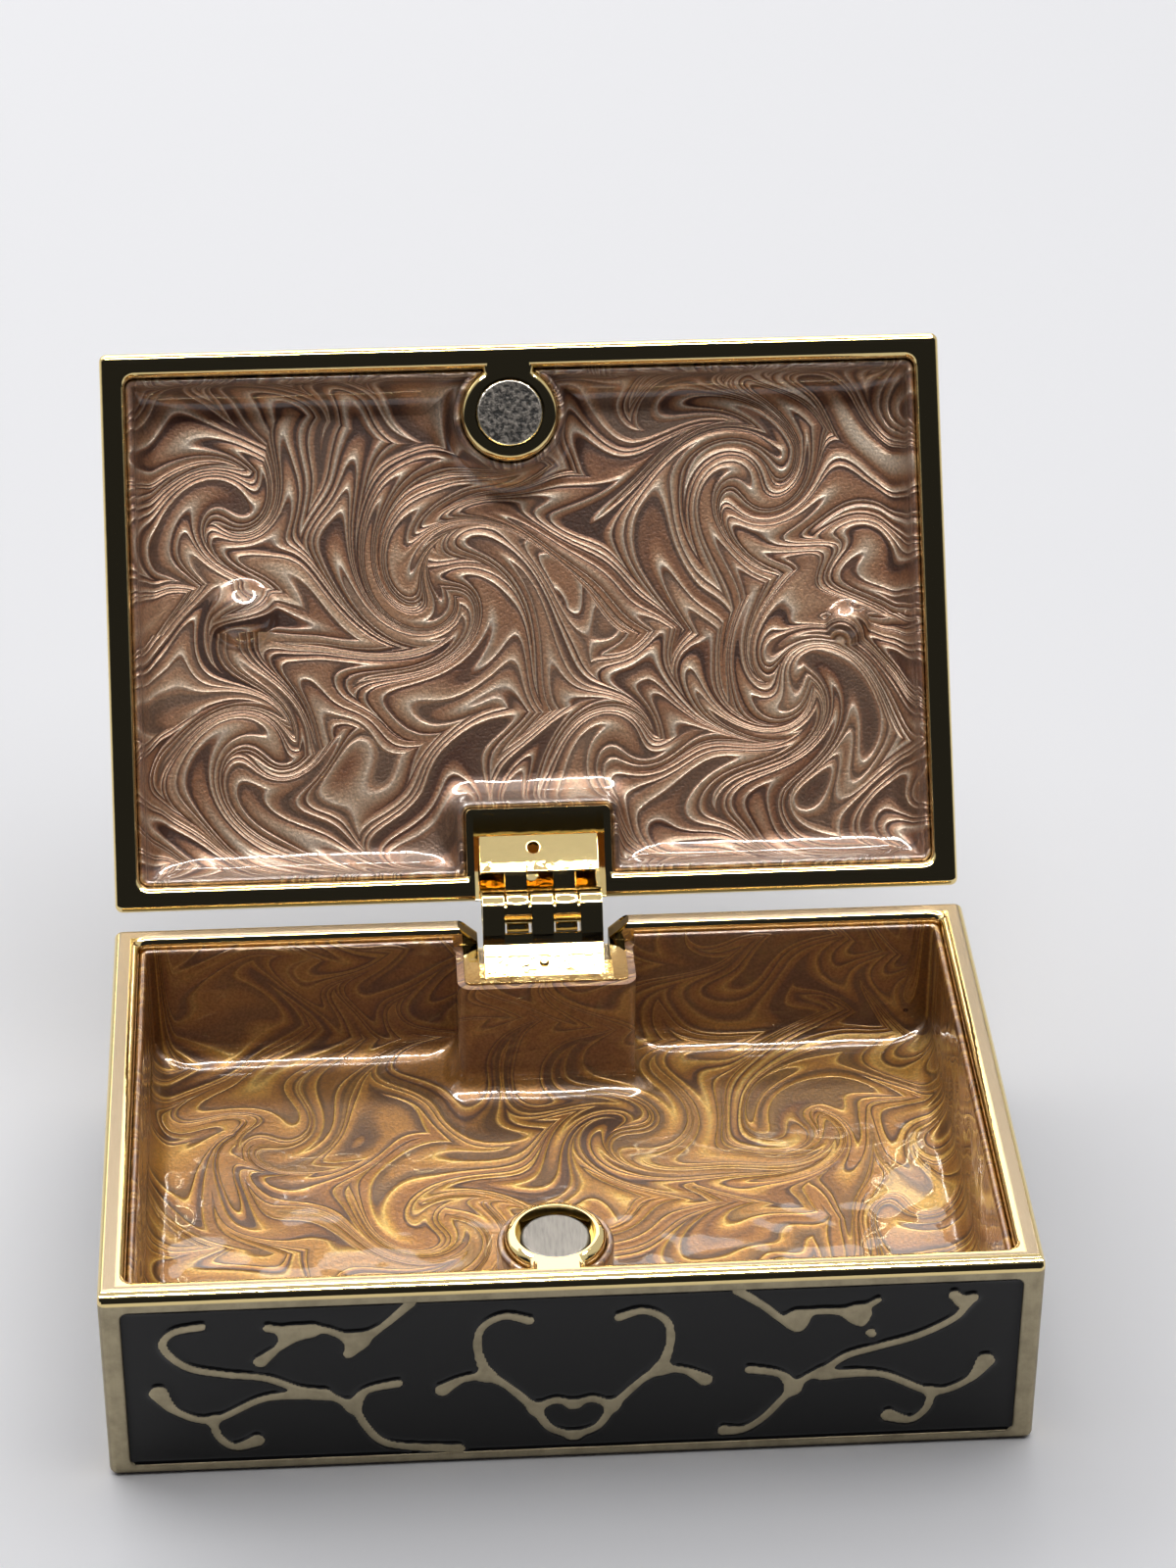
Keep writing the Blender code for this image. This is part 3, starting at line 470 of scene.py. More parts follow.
def casting(half, wells):
    """A half of the box: a rounded block, less its mouth, hinge pocket, catch bore and outer wells."""
    middle = Vector((0.0, 0.0, half.rim + half.inward * half.height / 2))
    reach = Vector((BOX_WIDTH, BOX_DEPTH, half.height)) / 2
    bm = block(middle - reach, middle + reach, OUTER_CORNER, OUTER_EDGE)
    depth = half.height - half.floor
    bm = cut(bm, loft(half, [(-LIP_RADIUS, -half.height), *lip(LIP_RADIUS), (0.0, depth)]))
    bm = cut(bm, hinge_pocket(half))
    beside = POCKET_HALF_WIDTH + half.block_side + BLOCK_LIP_RADIUS
    before = half.pocket_front - half.block_front - BLOCK_LIP_RADIUS
    levels = sorted(half.rim + half.inward * d for d in (half.block_drop, -half.height))
    bm = cut(
        bm,
        block(
            (HINGE_AT.x - beside, before, levels[0]),
            (HINGE_AT.x + beside, BOX_DEPTH / 2 - half.back_rim, levels[1]),
        ),
    )
    bore = (half.bore_depth - half.height) / 2
    at = Matrix.Translation((CATCH_AT.x, CATCH_AT.y, half.rim + half.inward * bore))
    bm = cut(bm, round_bar(half.bore_radius, half.bore_depth + half.height, at))
    for place, width, height in wells:
        well = block(
            (-width / 2, -height / 2, -WELL_DEPTH), (width / 2, height / 2, WELL_DEPTH), PANEL_CORNER
        )
        bmesh.ops.transform(well, matrix=place, verts=well.verts)
        bm = cut(bm, well)
    return bm


WELL_DEPTH = 0.75 * MM
PANEL_CORNER = 0.5 * MM
PANEL_SIDE_FRAME = 1.45 * MM
PANEL_FOOT_FRAME = 0.9 * MM
PANEL_HEAD_FRAME = 1.45 * MM
BACK_PANEL_HEAD_FRAME = 3.8 * MM
LONG_PANEL = BOX_WIDTH - 2 * PANEL_SIDE_FRAME
SHORT_PANEL = BOX_DEPTH - 2 * PANEL_SIDE_FRAME
FRONT_PANEL_HEIGHT = BASE_HEIGHT - PANEL_FOOT_FRAME - PANEL_HEAD_FRAME
BACK_PANEL_HEIGHT = BASE_HEIGHT - PANEL_FOOT_FRAME - BACK_PANEL_HEAD_FRAME
FRONT_MIDDLE = PANEL_FOOT_FRAME + FRONT_PANEL_HEIGHT / 2
BACK_MIDDLE = PANEL_FOOT_FRAME + BACK_PANEL_HEIGHT / 2
FRONT_FACE = face_matrix((0.0, -BOX_DEPTH / 2, FRONT_MIDDLE), (1, 0, 0), (0, 0, 1))
BACK_FACE = face_matrix((0.0, BOX_DEPTH / 2, BACK_MIDDLE), (-1, 0, 0), (0, 0, 1))
LEFT_FACE = face_matrix((-BOX_WIDTH / 2, 0.0, FRONT_MIDDLE), (0, -1, 0), (0, 0, 1))
RIGHT_FACE = face_matrix((BOX_WIDTH / 2, 0.0, FRONT_MIDDLE), (0, 1, 0), (0, 0, 1))

# Scrollwork. Each stroke is its width at the start and at the end, as a multiple of the scroll's
# own width, and then its points: across the panel from the middle, 1 at the edge, and up from 0 to 1.
# All strokes are cut from one grid of their distances, so that a web of metal fills each fork, and
# the top of every stroke is flat with rounded shoulders.
SCROLL_WIDTH = 0.61 * MM
SCROLL_BELOW_FACE = 0.05 * MM
SCROLL_ROOT = 1.1 * WELL_DEPTH
STROKE_STEPS = 8
FIELD_STEP = 0.12 * MM
SIDE_FIELD_STEP = 1.5 * FIELD_STEP
FIELD_MARGIN = 3
FIELD_FAR = 1.5 * MM
NEAREST_CROSSING = 0.05
WEB_REACH = 0.5 * MM
SHOULDER = 0.15 * MM
SHOULDER_DROP = 0.06 * MM
HEART = (
    (1.0, 1.2, ((-0.006, 0.283), (0.042, 0.32), (0.087, 0.268))),
    (1.2, 1.0, ((0.087, 0.268), (0.053, 0.135), (-0.006, 0.077))),
)
HEART_SCROLLS = (
    (1.5, 1.2, ((0.195, 0.505), (0.15, 0.43), (0.087, 0.268))),
    (1.5, 1.2, ((0.195, 0.505), (0.215, 0.68), (0.205, 0.82), (0.155, 0.89), (0.10, 0.855))),
    (1.2, 1.8, ((0.195, 0.505), (0.25, 0.485), (0.295, 0.42))),
)
BRANCH = (
    (1.6, 2.2, ((0.56, 0.42), (0.69, 0.412), (0.81, 0.28), (0.89, 0.345), (0.927, 0.47))),
    (1.1, 1.8, ((0.81, 0.28), (0.80, 0.17), (0.765, 0.095), (0.715, 0.13))),
    (1.9, 1.2, ((0.495, 0.335), (0.465, 0.435), (0.395, 0.475))),
)
LEFT_TENDRIL = (
    *((0.824, 0.896), (0.887, 0.866), (0.911, 0.773), (0.862, 0.638), (0.777, 0.579), (0.69, 0.545)),
    *((0.615, 0.463), (0.551, 0.414), (0.497, 0.325), (0.471, 0.207), (0.439, 0.103), (0.39, 0.055)),
    (0.26, 0.02),
)
LEFT_TWIGS = (
    (1.1, 1.4, LEFT_TENDRIL),
    (1.3, 1.8, ((0.362, 1.0), (0.426, 0.853), (0.481, 0.763))),
    (2.6, 1.2, ((0.481, 0.763), (0.502, 0.681))),
    (1.8, 1.2, ((0.487, 0.764), (0.524, 0.816), (0.561, 0.85), (0.615, 0.843), (0.677, 0.872))),
    (2.2, 1.7, ((0.62, 0.83), (0.66, 0.735), (0.697, 0.656))),
    (2.0, 1.6, ((0.585, 0.845), (0.64, 0.83))),
)
RIGHT_TENDRIL = (
    *((0.868, 0.87), (0.872, 0.833), (0.846, 0.756), (0.77, 0.657), (0.682, 0.594), (0.614, 0.544)),
    *((0.566, 0.462), (0.518, 0.394), (0.475, 0.281), (0.431, 0.153), (0.385, 0.075), (0.34, 0.072)),
)
RIGHT_TWIGS = (
    (1.6, 1.5, RIGHT_TENDRIL),
    (1.4, 1.3, ((0.847, 0.915), (0.869, 0.865), (0.89, 0.892))),
    (1.3, 1.8, ((0.362, 1.0), (0.422, 0.891), (0.463, 0.80), (0.498, 0.77))),
    (2.6, 1.0, ((0.497, 0.80), (0.501, 0.74))),
    (2.2, 2.2, ((0.497, 0.785), (0.531, 0.838), (0.585, 0.837), (0.636, 0.812))),
    (2.4, 0.8, ((0.636, 0.812), (0.653, 0.858), (0.677, 0.901))),
    (2.4, 0.9, ((0.632, 0.815), (0.643, 0.755))),
    (1.2, 0.9, ((0.664, 0.69), (0.668, 0.675))),
)
CORNER_TWIGS = (
    (1.0, 2.0, ((0.90, 0.66), (0.915, 0.80), (0.83, 0.90), (0.71, 0.86), (0.60, 0.93))),
)
SIDE_SCROLLS = (
    (1.4, 1.0, ((-0.01, 0.22), (0.13, 0.26), (0.26, 0.50), (0.42, 0.72), (0.55, 0.62))),
    (1.3, 1.8, ((0.26, 0.50), (0.40, 0.36), (0.58, 0.28), (0.73, 0.40))),
)


def along_stroke(points, widths):
    """A smooth line through a stroke's points, with its half width at each place."""
    line = []
    for i in range(len(points) - 1):
        before, start, end = points[max(i - 1, 0)], points[i], points[i + 1]
        after = points[min(i + 2, len(points) - 1)]
        for step in range(STROKE_STEPS + 1):
            t = step / STROKE_STEPS
            place = []
            for a, b, c, d in zip(before, start, end, after):
                bend = (2 * a - 5 * b + 4 * c - d) * t**2 + (3 * b - a - 3 * c + d) * t**3
                place.append(0.5 * (2 * b + (c - a) * t + bend))
            line.append((*place, widths[i] + (widths[i + 1] - widths[i]) * t))
    return line


def scroll_field(strokes, width, height, step, weight=1.0):
    """How far each point of a grid over a panel lies outside the scrollwork, with webs in its forks."""
    columns, rows = round(width / step), round(height / step)
    field = [[FIELD_FAR] * (rows + 2 * FIELD_MARGIN + 1) for _ in range(columns + 2 * FIELD_MARGIN + 1)]
    for (start, end, points), size in strokes:
        middle = [1.0] * (len(points) - 2)
        half_widths = [w * weight * SCROLL_WIDTH / 2 for w in (start, *middle, end)]
        placed = [(across * size[0], (up - 0.5) * size[1]) for across, up in points]
        own = {}
        path = along_stroke(placed, half_widths)
        for (ax, ay, a_half), (bx, by, b_half) in zip(path, path[1:]):
            reach = max(a_half, b_half) + 2 * WEB_REACH
            low_i = int((min(ax, bx) - reach + width / 2) * columns / width) + FIELD_MARGIN
            high_i = int((max(ax, bx) + reach + width / 2) * columns / width) + FIELD_MARGIN + 1
            low_j = int((min(ay, by) - reach + height / 2) * rows / height) + FIELD_MARGIN
            high_j = int((max(ay, by) + reach + height / 2) * rows / height) + FIELD_MARGIN + 1
            span = (bx - ax) ** 2 + (by - ay) ** 2
            for i in range(max(low_i, 0), min(high_i, len(field) - 1) + 1):
                x = (i - FIELD_MARGIN) * width / columns - width / 2
                for j in range(max(low_j, 0), min(high_j, len(field[0]) - 1) + 1):
                    y = (j - FIELD_MARGIN) * height / rows - height / 2
                    t = ((x - ax) * (bx - ax) + (y - ay) * (by - ay)) / span if span else 0.0
                    t = min(max(t, 0.0), 1.0)
                    gap = math.hypot(x - ax - (bx - ax) * t, y - ay - (by - ay) * t)
                    gap -= a_half + (b_half - a_half) * t
                    own[i, j] = min(gap, own.get((i, j), gap))
        for (i, j), gap in own.items():
            web = max(WEB_REACH - abs(field[i][j] - gap), 0.0) / WEB_REACH
            field[i][j] = min(field[i][j], gap) - web**2 * WEB_REACH / 4
    return SimpleNamespace(width=width, height=height, columns=columns, rows=rows, gaps=field)


def scrollwork(field):
    """The scrollwork of a field, in its panel's own frame, with rounded shoulders and flat tops."""
    bm = bmesh.new()
    made = {}

    def corner(first, second):
        """The corner at a grid point, or where the edge between two of them crosses the outline."""
        if (first, second) not in made:
            near, far = field.gaps[first[0]][first[1]], field.gaps[second[0]][second[1]]
            t, inside = 0.0, -near
            if first != second:
                t = min(max(near / (near - far), NEAREST_CROSSING), 1 - NEAREST_CROSSING)
                inside = 0.0
            i, j = (a + (b - a) * t - FIELD_MARGIN for a, b in zip(first, second))
            x = i * field.width / field.columns - field.width / 2
            y = j * field.height / field.rows - field.height / 2
            fall = SHOULDER_DROP * (1 - min(inside / SHOULDER, 1.0)) ** 2
            made[first, second] = bm.verts.new((x, y, -SCROLL_BELOW_FACE - fall))
        return made[first, second]

    for i in range(len(field.gaps) - 1):
        for j in range(len(field.gaps[0]) - 1):
            ring = [(i, j), (i + 1, j), (i + 1, j + 1), (i, j + 1)]
            metal = [field.gaps[a][b] < 0 for a, b in ring]
            outline = []
            for k in range(4):
                here, there = ring[k], ring[(k + 1) % 4]
                if metal[k]:
                    outline.append(corner(here, here))
                if metal[k] != metal[(k + 1) % 4]:
                    outline.append(corner(*sorted((here, there))))
            if len(outline) > 2:
                bm.faces.new(outline)
    grown = bmesh.ops.extrude_face_region(bm, geom=bm.faces[:], use_keep_orig=True)["geom"]
    for vertex in (v for v in grown if isinstance(v, bmesh.types.BMVert)):
        vertex.co.z = -SCROLL_ROOT
    bmesh.ops.recalc_face_normals(bm, faces=bm.faces)
    return bm


def add_to(bm, other):
    """Adds a copy of another bmesh's faces to a bmesh, as a body of its own."""
    mesh = bpy.data.meshes.new("work")
    other.to_mesh(mesh)
    bm.from_mesh(mesh)
    bpy.data.meshes.remove(mesh)


def on_both_sides(strokes, size):
    """Each stroke twice, mirrored about the panel's middle, with the size it is drawn to."""
    return [(stroke, (side * size[0], size[1])) for side in (-1, 1) for stroke in strokes]


front_size = (LONG_PANEL / 2, FRONT_PANEL_HEIGHT)
front_strokes = on_both_sides(HEART + HEART_SCROLLS + BRANCH, front_size)
front_strokes += [(stroke, (-front_size[0], front_size[1])) for stroke in LEFT_TWIGS]
front_strokes += [(stroke, front_size) for stroke in RIGHT_TWIGS]
side_strokes = on_both_sides(SIDE_SCROLLS, (SHORT_PANEL / 2, FRONT_PANEL_HEIGHT))
front_field = scroll_field(front_strokes, LONG_PANEL, FRONT_PANEL_HEIGHT, FIELD_STEP)
side_field = scroll_field(side_strokes, SHORT_PANEL, FRONT_PANEL_HEIGHT, SIDE_FIELD_STEP)
front_scrolls, side_scrolls = scrollwork(front_field), scrollwork(side_field)

base_wells = [
    (FRONT_FACE, LONG_PANEL, FRONT_PANEL_HEIGHT),
    (BACK_FACE, LONG_PANEL, BACK_PANEL_HEIGHT),
    (LEFT_FACE, SHORT_PANEL, FRONT_PANEL_HEIGHT),
    (RIGHT_FACE, SHORT_PANEL, FRONT_PANEL_HEIGHT),
]
base_bm = casting(BASE, base_wells)

# Behind the hinge the pocket flares to the back rim's top.
low, high = BASE_HEIGHT - BASE.block_drop, BASE_HEIGHT + 0.1 * BASE.block_drop
wide = POCKET_HALF_WIDTH + NOTCH_FLARE
flare = [(-POCKET_HALF_WIDTH, low), (POCKET_HALF_WIDTH, low), (wide, high), (-wide, high)]
from_the_back = Matrix(((1, 0, 0, HINGE_AT.x), (0, 0, -1, BOX_DEPTH / 2), (0, 1, 0, 0), (0, 0, 0, 1)))
base_bm = cut(base_bm, prism(flare, BASE.back_rim + LIP_RADIUS, from_the_back))

# The front's top edge is worn: a wide slope from the rim, then a small round nose down to the face.
nose_run = math.cos(math.radians(FRONT_TURN)) * (FRONT_SLOPE - FRONT_NOSE)
nose_rise = math.sin(math.radians(FRONT_TURN)) * (FRONT_SLOPE - FRONT_NOSE)
slope_at = Vector((FRONT_NOSE - nose_run - BOX_DEPTH / 2, BASE_HEIGHT - FRONT_SLOPE))
nose_at = slope_at + Vector((nose_run, nose_rise))
worn_edge = [(-BOX_DEPTH, BASE_HEIGHT + FRONT_SLOPE), (-BOX_DEPTH, nose_at.y)]
worn_edge += arc(nose_at, FRONT_NOSE, 180, FRONT_TURN, LIP_STEPS)
worn_edge += arc(slope_at, FRONT_SLOPE, FRONT_TURN, 90, 2 * LIP_STEPS)[1:]
worn_edge += [(slope_at.x, BASE_HEIGHT + FRONT_SLOPE)]
along_the_front = Matrix(((0, 0, 1, 0), (1, 0, 0, 0), (0, 1, 0, 0), (0, 0, 0, 1)))
base_bm = cut(base_bm, prism(worn_edge, BOX_WIDTH, along_the_front))

# The edges of the pocket's mouth and of the front's wells are softened.
BASE_MOUTH_SIDE = 1.0 * MM
MOUTH_FRONT, MOUTH_LEVEL = 0.1 * MM, 0.2 * MM
FRONT_EDGES_BELOW = BASE_HEIGHT - 0.9 * PANEL_HEAD_FRAME
FRONT_FACE_AT = 0.01 * MM - BOX_DEPTH / 2


def at_the_block(half, at, side):
    """Whether a point lies on the mouth of the hinge pocket, within side of it."""
    beside = abs(at.x - HINGE_AT.x) < POCKET_HALF_WIDTH + side
    before = at.y > half.pocket_front - half.block_front - MOUTH_FRONT
    return beside and before and abs(at.z - half.rim - half.inward * half.block_drop) < MOUTH_LEVEL


soften(base_bm, SOFT_EDGE, SOFT_STEPS, lambda at: at_the_block(BASE, at, BASE_MOUTH_SIDE))
soften(base_bm, SOFT_EDGE, SOFT_STEPS, lambda at: at.z < FRONT_EDGES_BELOW and at.y < FRONT_FACE_AT)
for face, scrolls in ((FRONT_FACE, front_scrolls), (LEFT_FACE, side_scrolls), (RIGHT_FACE, side_scrolls)):
    placed = scrolls.copy()
    bmesh.ops.transform(placed, matrix=face, verts=placed.verts)
    add_to(base_bm, placed)

# Gilt. A thin layer of gold over the cast metal. Polished, it mirrors the room a little wavily. The
# belt leaves scores on the lands that spread the light; they are too fine to show, so they are drawn
# coarser. In the hinge pocket the cast skin was left, with pits and duller patches. The widths,
# depths and distances are in millimetres.
GILT_BRIGHT, GILT_PITTED = linear("ecd496"), linear("dcc48a")
# Painted shade: the dull tones of the lands and the outer faces are darker than the polished gilt. They
# stand in for the dimmer light that these faces mirror.
GILT_LAND_SHADE, GILT_FACE_SHADE = linear("766a58"), linear("aca084")
POLISHED, PITTED, SATIN_LOW, SATIN_HIGH = 0.06, 0.22, 0.34, 0.46
WAVE_WIDTH, WAVE_HEIGHT = 1.111, 0.02
PIT_WIDTH, PIT_DEPTH, PIT_PATCH, PIT_FADE = 0.25, 0.07, 1.111, 0.3
PIT_SIDE, BASE_PITS = 0.05, (2.0, 7.3)
LAND_WIDTH, LAND_FADE = 1.2, 0.06
SIDE_WEAR, FRONT_WEAR, WEAR_FADE = (0.3, 0.5), (0.86, 0.7), 0.1
FACE_ENDS, LAND_BEGINS = 0.1, 0.25
STAIN_WIDTH, STAINED = 1.429, 0.72
BELT_SCORES, BELT_DEPTH = (0.1111, 1.429, 1.429), 0.04


def polished_gilt(name, pit_band=None):
    """Polished gilt, pitted in patches between two distances from the hinge's axis."""
    made, tree, shader, mm = new_material(name)
    waves = add_node(tree, "TexNoise", {"Vector": mm, "Scale": 1 / WAVE_WIDTH, "Detail": 2.0})
    ripple = add_node(tree, "Bump", {"Height": waves, "Strength": 0.7, "Distance": WAVE_HEIGHT * MM})
    set_inputs(
        shader, {"Metallic": 1.0, "Base Color": GILT_BRIGHT, "Roughness": POLISHED, "Normal": ripple}
    )
    if not pit_band:
        return made, tree, shader, mm
    from_hinge = add_node(tree, "VectorMath", {0: mm, 1: HINGE_AT / MM}, operation="SUBTRACT")
    sideways = add_node(tree, "SeparateXYZ", {0: from_hinge}).outputs["X"]
    sideways = add_node(tree, "Math", {0: sideways}, operation="ABSOLUTE")
    pocket_side = POCKET_HALF_WIDTH / MM + PIT_SIDE
    in_pocket = add_node(tree, "Math", {0: sideways, 1: pocket_side}, operation="LESS_THAN")
    from_axis = add_node(tree, "VectorMath", {0: from_hinge, 1: (0.0, 1.0, 1.0)}, operation="MULTIPLY")
    from_axis = add_node(tree, "VectorMath", {0: from_axis}, operation="LENGTH")
    off_band = add_node(tree, "Math", {0: from_axis, 1: sum(pit_band) / 2}, operation="SUBTRACT")
    off_band = add_node(tree, "Math", {0: off_band}, operation="ABSOLUTE")
    half_band = (pit_band[1] - pit_band[0]) / 2
    fading = {"From Min": half_band, "From Max": half_band + PIT_FADE, "To Min": 1.0, "To Max": 0.0}
    in_band = add_node(
        tree, "MapRange", {"Value": off_band, **fading}, interpolation_type="SMOOTHSTEP"
    )
    patches = add_node(tree, "TexNoise", {"Vector": mm, "Scale": 1 / PIT_PATCH, "Detail": 2.0})
    in_patch = add_node(
        tree,
        "MapRange",
        {"Value": patches, "From Min": 0.36, "From Max": 0.52},
        interpolation_type="SMOOTHSTEP",
    )
    pitted = add_node(tree, "Math", {0: in_band, 1: in_pocket}, operation="MULTIPLY")
    pitted = add_node(tree, "Math", {0: pitted, 1: in_patch}, operation="MULTIPLY")
    pits = add_node(
        tree, "TexNoise", {"Vector": mm, "Scale": 1 / PIT_WIDTH, "Detail": 2.0, "Roughness": 0.6}
    )
    sunk = add_node(tree, "Math", {0: pits, 1: pitted}, operation="MULTIPLY")
    skin = add_node(
        tree, "Bump", {"Height": sunk, "Strength": 0.5, "Distance": PIT_DEPTH * MM, "Normal": ripple}
    )
    gloss = add_node(tree, "MapRange", {"Value": pitted, "To Min": POLISHED, "To Max": PITTED})
    plate_tones = {COLOUR_A: GILT_BRIGHT, COLOUR_B: GILT_PITTED}
    plate = add_node(tree, "Mix", {0: pitted, **plate_tones}, data_type="RGBA")
    set_inputs(shader, {"Base Color": plate, "Roughness": gloss, "Normal": skin})
    return made, tree, shader, mm


def satin_lands(tree, shader, mm):
    """Dresses a polished gilt casting's lands and outer faces satin and in painted shade; worn edges stay
    bright.
    """
    looks = ("Base Color", "Roughness", "Normal")
    plate, gloss, skin = (shader.inputs[look].links[0].from_node for look in looks)
    place = add_node(tree, "SeparateXYZ", {0: mm})
    across = add_node(tree, "Math", {0: place.outputs["X"]}, operation="ABSOLUTE")
    along = add_node(tree, "Math", {0: place.outputs["Y"]}, operation="ABSOLUTE")
    to_side = add_node(tree, "Math", {0: BOX_WIDTH / 2 / MM, 1: across}, operation="SUBTRACT")
    to_end = add_node(tree, "Math", {0: BOX_DEPTH / 2 / MM, 1: along}, operation="SUBTRACT")
    to_front = add_node(tree, "Math", {0: place.outputs["Y"], 1: BOX_DEPTH / 2 / MM}, operation="ADD")
    inward = add_node(tree, "Math", {0: to_side, 1: to_end}, operation="MINIMUM")
    below = add_node(tree, "Math", {0: BASE_HEIGHT / MM, 1: place.outputs["Z"]}, operation="SUBTRACT")
    land_end = {"From Min": LAND_WIDTH - LAND_FADE, "From Max": LAND_WIDTH + LAND_FADE}
    bright = add_node(tree, "MapRange", {"Value": inward, **land_end})
    for distance, reach, height in ((inward, *SIDE_WEAR), (to_front, *FRONT_WEAR)):
        fading = {"From Min": reach, "From Max": reach + WEAR_FADE, "To Min": 1.0, "To Max": 0.0}
        outer = add_node(tree, "MapRange", {"Value": distance, **fading})
        fading = {"From Min": height, "From Max": height + WEAR_FADE, "To Min": 1.0, "To Max": 0.0}
        upper = add_node(tree, "MapRange", {"Value": below, **fading})
        worn = add_node(tree, "Math", {0: outer, 1: upper}, operation="MULTIPLY")
        bright = add_node(tree, "Math", {0: bright, 1: worn}, operation="MAXIMUM")
    face_end = {"From Min": FACE_ENDS, "From Max": LAND_BEGINS, "To Min": 1.0, "To Max": 0.0}
    on_face = add_node(tree, "MapRange", {"Value": inward, **face_end})
    # Painted shade: the outer faces and the lands take darker tones than the polished gilt.
    dull_and_shaded = add_node(tree, "Mix", {0: on_face, COLOUR_A: GILT_LAND_SHADE, COLOUR_B: GILT_FACE_SHADE}, data_type="RGBA")
    stains = add_node(
        tree, "TexNoise", {"Vector": mm, "Scale": 1 / STAIN_WIDTH, "Detail": 4.0, "Roughness": 0.65}
    )
    stains = add_node(
        tree,
        "MapRange",
        {"Value": stains, "From Min": 0.3, "From Max": 0.6, "To Min": STAINED, "To Max": 1.0},
    )
    stains = add_node(tree, "Mix", {0: on_face, NUMBER_A: 1.0, NUMBER_B: stains}, data_type="FLOAT")
    dull_and_shaded = add_node(tree, "VectorMath", {0: dull_and_shaded, "Scale": stains}, operation="SCALE")
    colour = add_node(tree, "Mix", {0: bright, COLOUR_A: dull_and_shaded, COLOUR_B: plate}, data_type="RGBA")
    scores = add_node(tree, "Mapping", {"Vector": mm, "Scale": [1 / width for width in BELT_SCORES]})
    scores = add_node(tree, "TexNoise", {"Vector": scores, "Scale": 1.0, "Detail": 3.0})
    satin = add_node(
        tree,
        "MapRange",
        {"Value": scores, "From Min": 0.3, "From Max": 0.7, "To Min": SATIN_LOW, "To Max": SATIN_HIGH},
    )
    rough = add_node(tree, "Mix", {0: bright, NUMBER_A: satin, NUMBER_B: gloss}, data_type="FLOAT")
    height = add_node(tree, "Mix", {0: bright, NUMBER_A: scores, NUMBER_B: 0.5}, data_type="FLOAT")
    scored = add_node(
        tree, "Bump", {"Height": height, "Strength": 0.3, "Distance": BELT_DEPTH * MM, "Normal": skin}
    )
    set_inputs(shader, {"Base Color": colour, "Roughness": rough, "Normal": scored})


def finish_piece(name, bm, material, body, slot, *nodes, smooth_angle=SMOOTH_ANGLE):
    """A finished piece that rides on its body and replaces its solids. Its slot is not used."""
    made = new_object(name, bm, material, smooth_angle)
    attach(made, body)
    if nodes:
        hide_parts(*nodes)


base_gilt, base_tree, base_shader, base_mm = polished_gilt("satin_gilt_zinc", BASE_PITS)
satin_lands(base_tree, base_shader, base_mm)
finish_piece("base_gilt_casting", base_bm, base_gilt, "base", "satin_gilt", "base_casting")


# Base disc. Mild steel, stamped, brushed and pressed into its seat, where the magnet meets it. The
# brushing leaves parallel scores that blur what it mirrors. They are too fine to show, so they are
# drawn 0.2 mm apart.
DISC_SUNK = 0.15 * MM
DISC_EDGE = 0.26 * MM
STEEL_DARK, STEEL_LIGHT = linear("42403e"), linear("787570")
STEEL_SCORES, STEEL_TURN = (0.2, 1.429, 1.0), 0.1

disc_low, disc_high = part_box("base_steel_disc")
disc_bm = round_bar(
    (disc_high.x - disc_low.x) / 2,
    disc_high.z - disc_low.z - DISC_SUNK,
    Matrix.Translation((disc_low + disc_high) / 2 - Vector((0.0, 0.0, DISC_SUNK / 2))),
    sides=DISC_SIDES,
    edge=DISC_EDGE,
)
steel, steel_tree, steel_shader, steel_mm = new_material("brushed_mild_steel")
brushed_way = {"Scale": [1 / width for width in STEEL_SCORES], "Rotation": (0, 0, STEEL_TURN)}
brushing = add_node(steel_tree, "Mapping", {"Vector": steel_mm, **brushed_way})
scores = add_node(steel_tree, "TexNoise", {"Vector": brushing, "Scale": 1.0, "Detail": 4.0})
steel_tone = add_node(
    steel_tree, "Mix", {0: scores, COLOUR_A: STEEL_DARK, COLOUR_B: STEEL_LIGHT}, data_type="RGBA"
)
steel_rough = add_node(
    steel_tree,
    "MapRange",
    {"Value": scores, "From Min": 0.3, "From Max": 0.7, "To Min": 0.32, "To Max": 0.55},
)
steel_bump = add_node(steel_tree, "Bump", {"Height": scores, "Strength": 0.5, "Distance": 0.05 * MM})
set_inputs(
    steel_shader,
    {"Metallic": 1.0, "Base Color": steel_tone, "Roughness": steel_rough, "Normal": steel_bump},
)
finish_piece("base_brushed_disc", disc_bm, steel, "base", "brushed_steel", "base_steel_disc")


# Base lining. Pearl enamel, poured in two browns and a gold and drawn through with a needle, then
# left to level. It wets the walls, so it climbs to a bead under the lip and rounds every corner.
# The bead is drawn as insets from the wall and drops below its own top, in millimetres.
LINING_OUTSIDE = 0.02 * MM
LINING_AT_BLOCK = 1.3 * LINING_WALL
BEAD_BELOW_RIM = 0.7 * MM
BEAD_ABOVE_BLOCK = 0.15 * MM
BEAD = ((0.02, 0.3), (0.1, 0.1), (0.25, 0.02), (0.4, 0.06), (0.51, 0.2), (0.55, 0.42))
FILLET_STEPS = 10
BASE_LINING_FLOOR = 4.9 * MM
BASE_FILLET = 1.9 * MM
PIN_HOLE_RADIUS = 0.2 * MM
PIN_HOLE_ACROSS, PIN_HOLE_UP = 27.0 * MM, 7.2 * MM


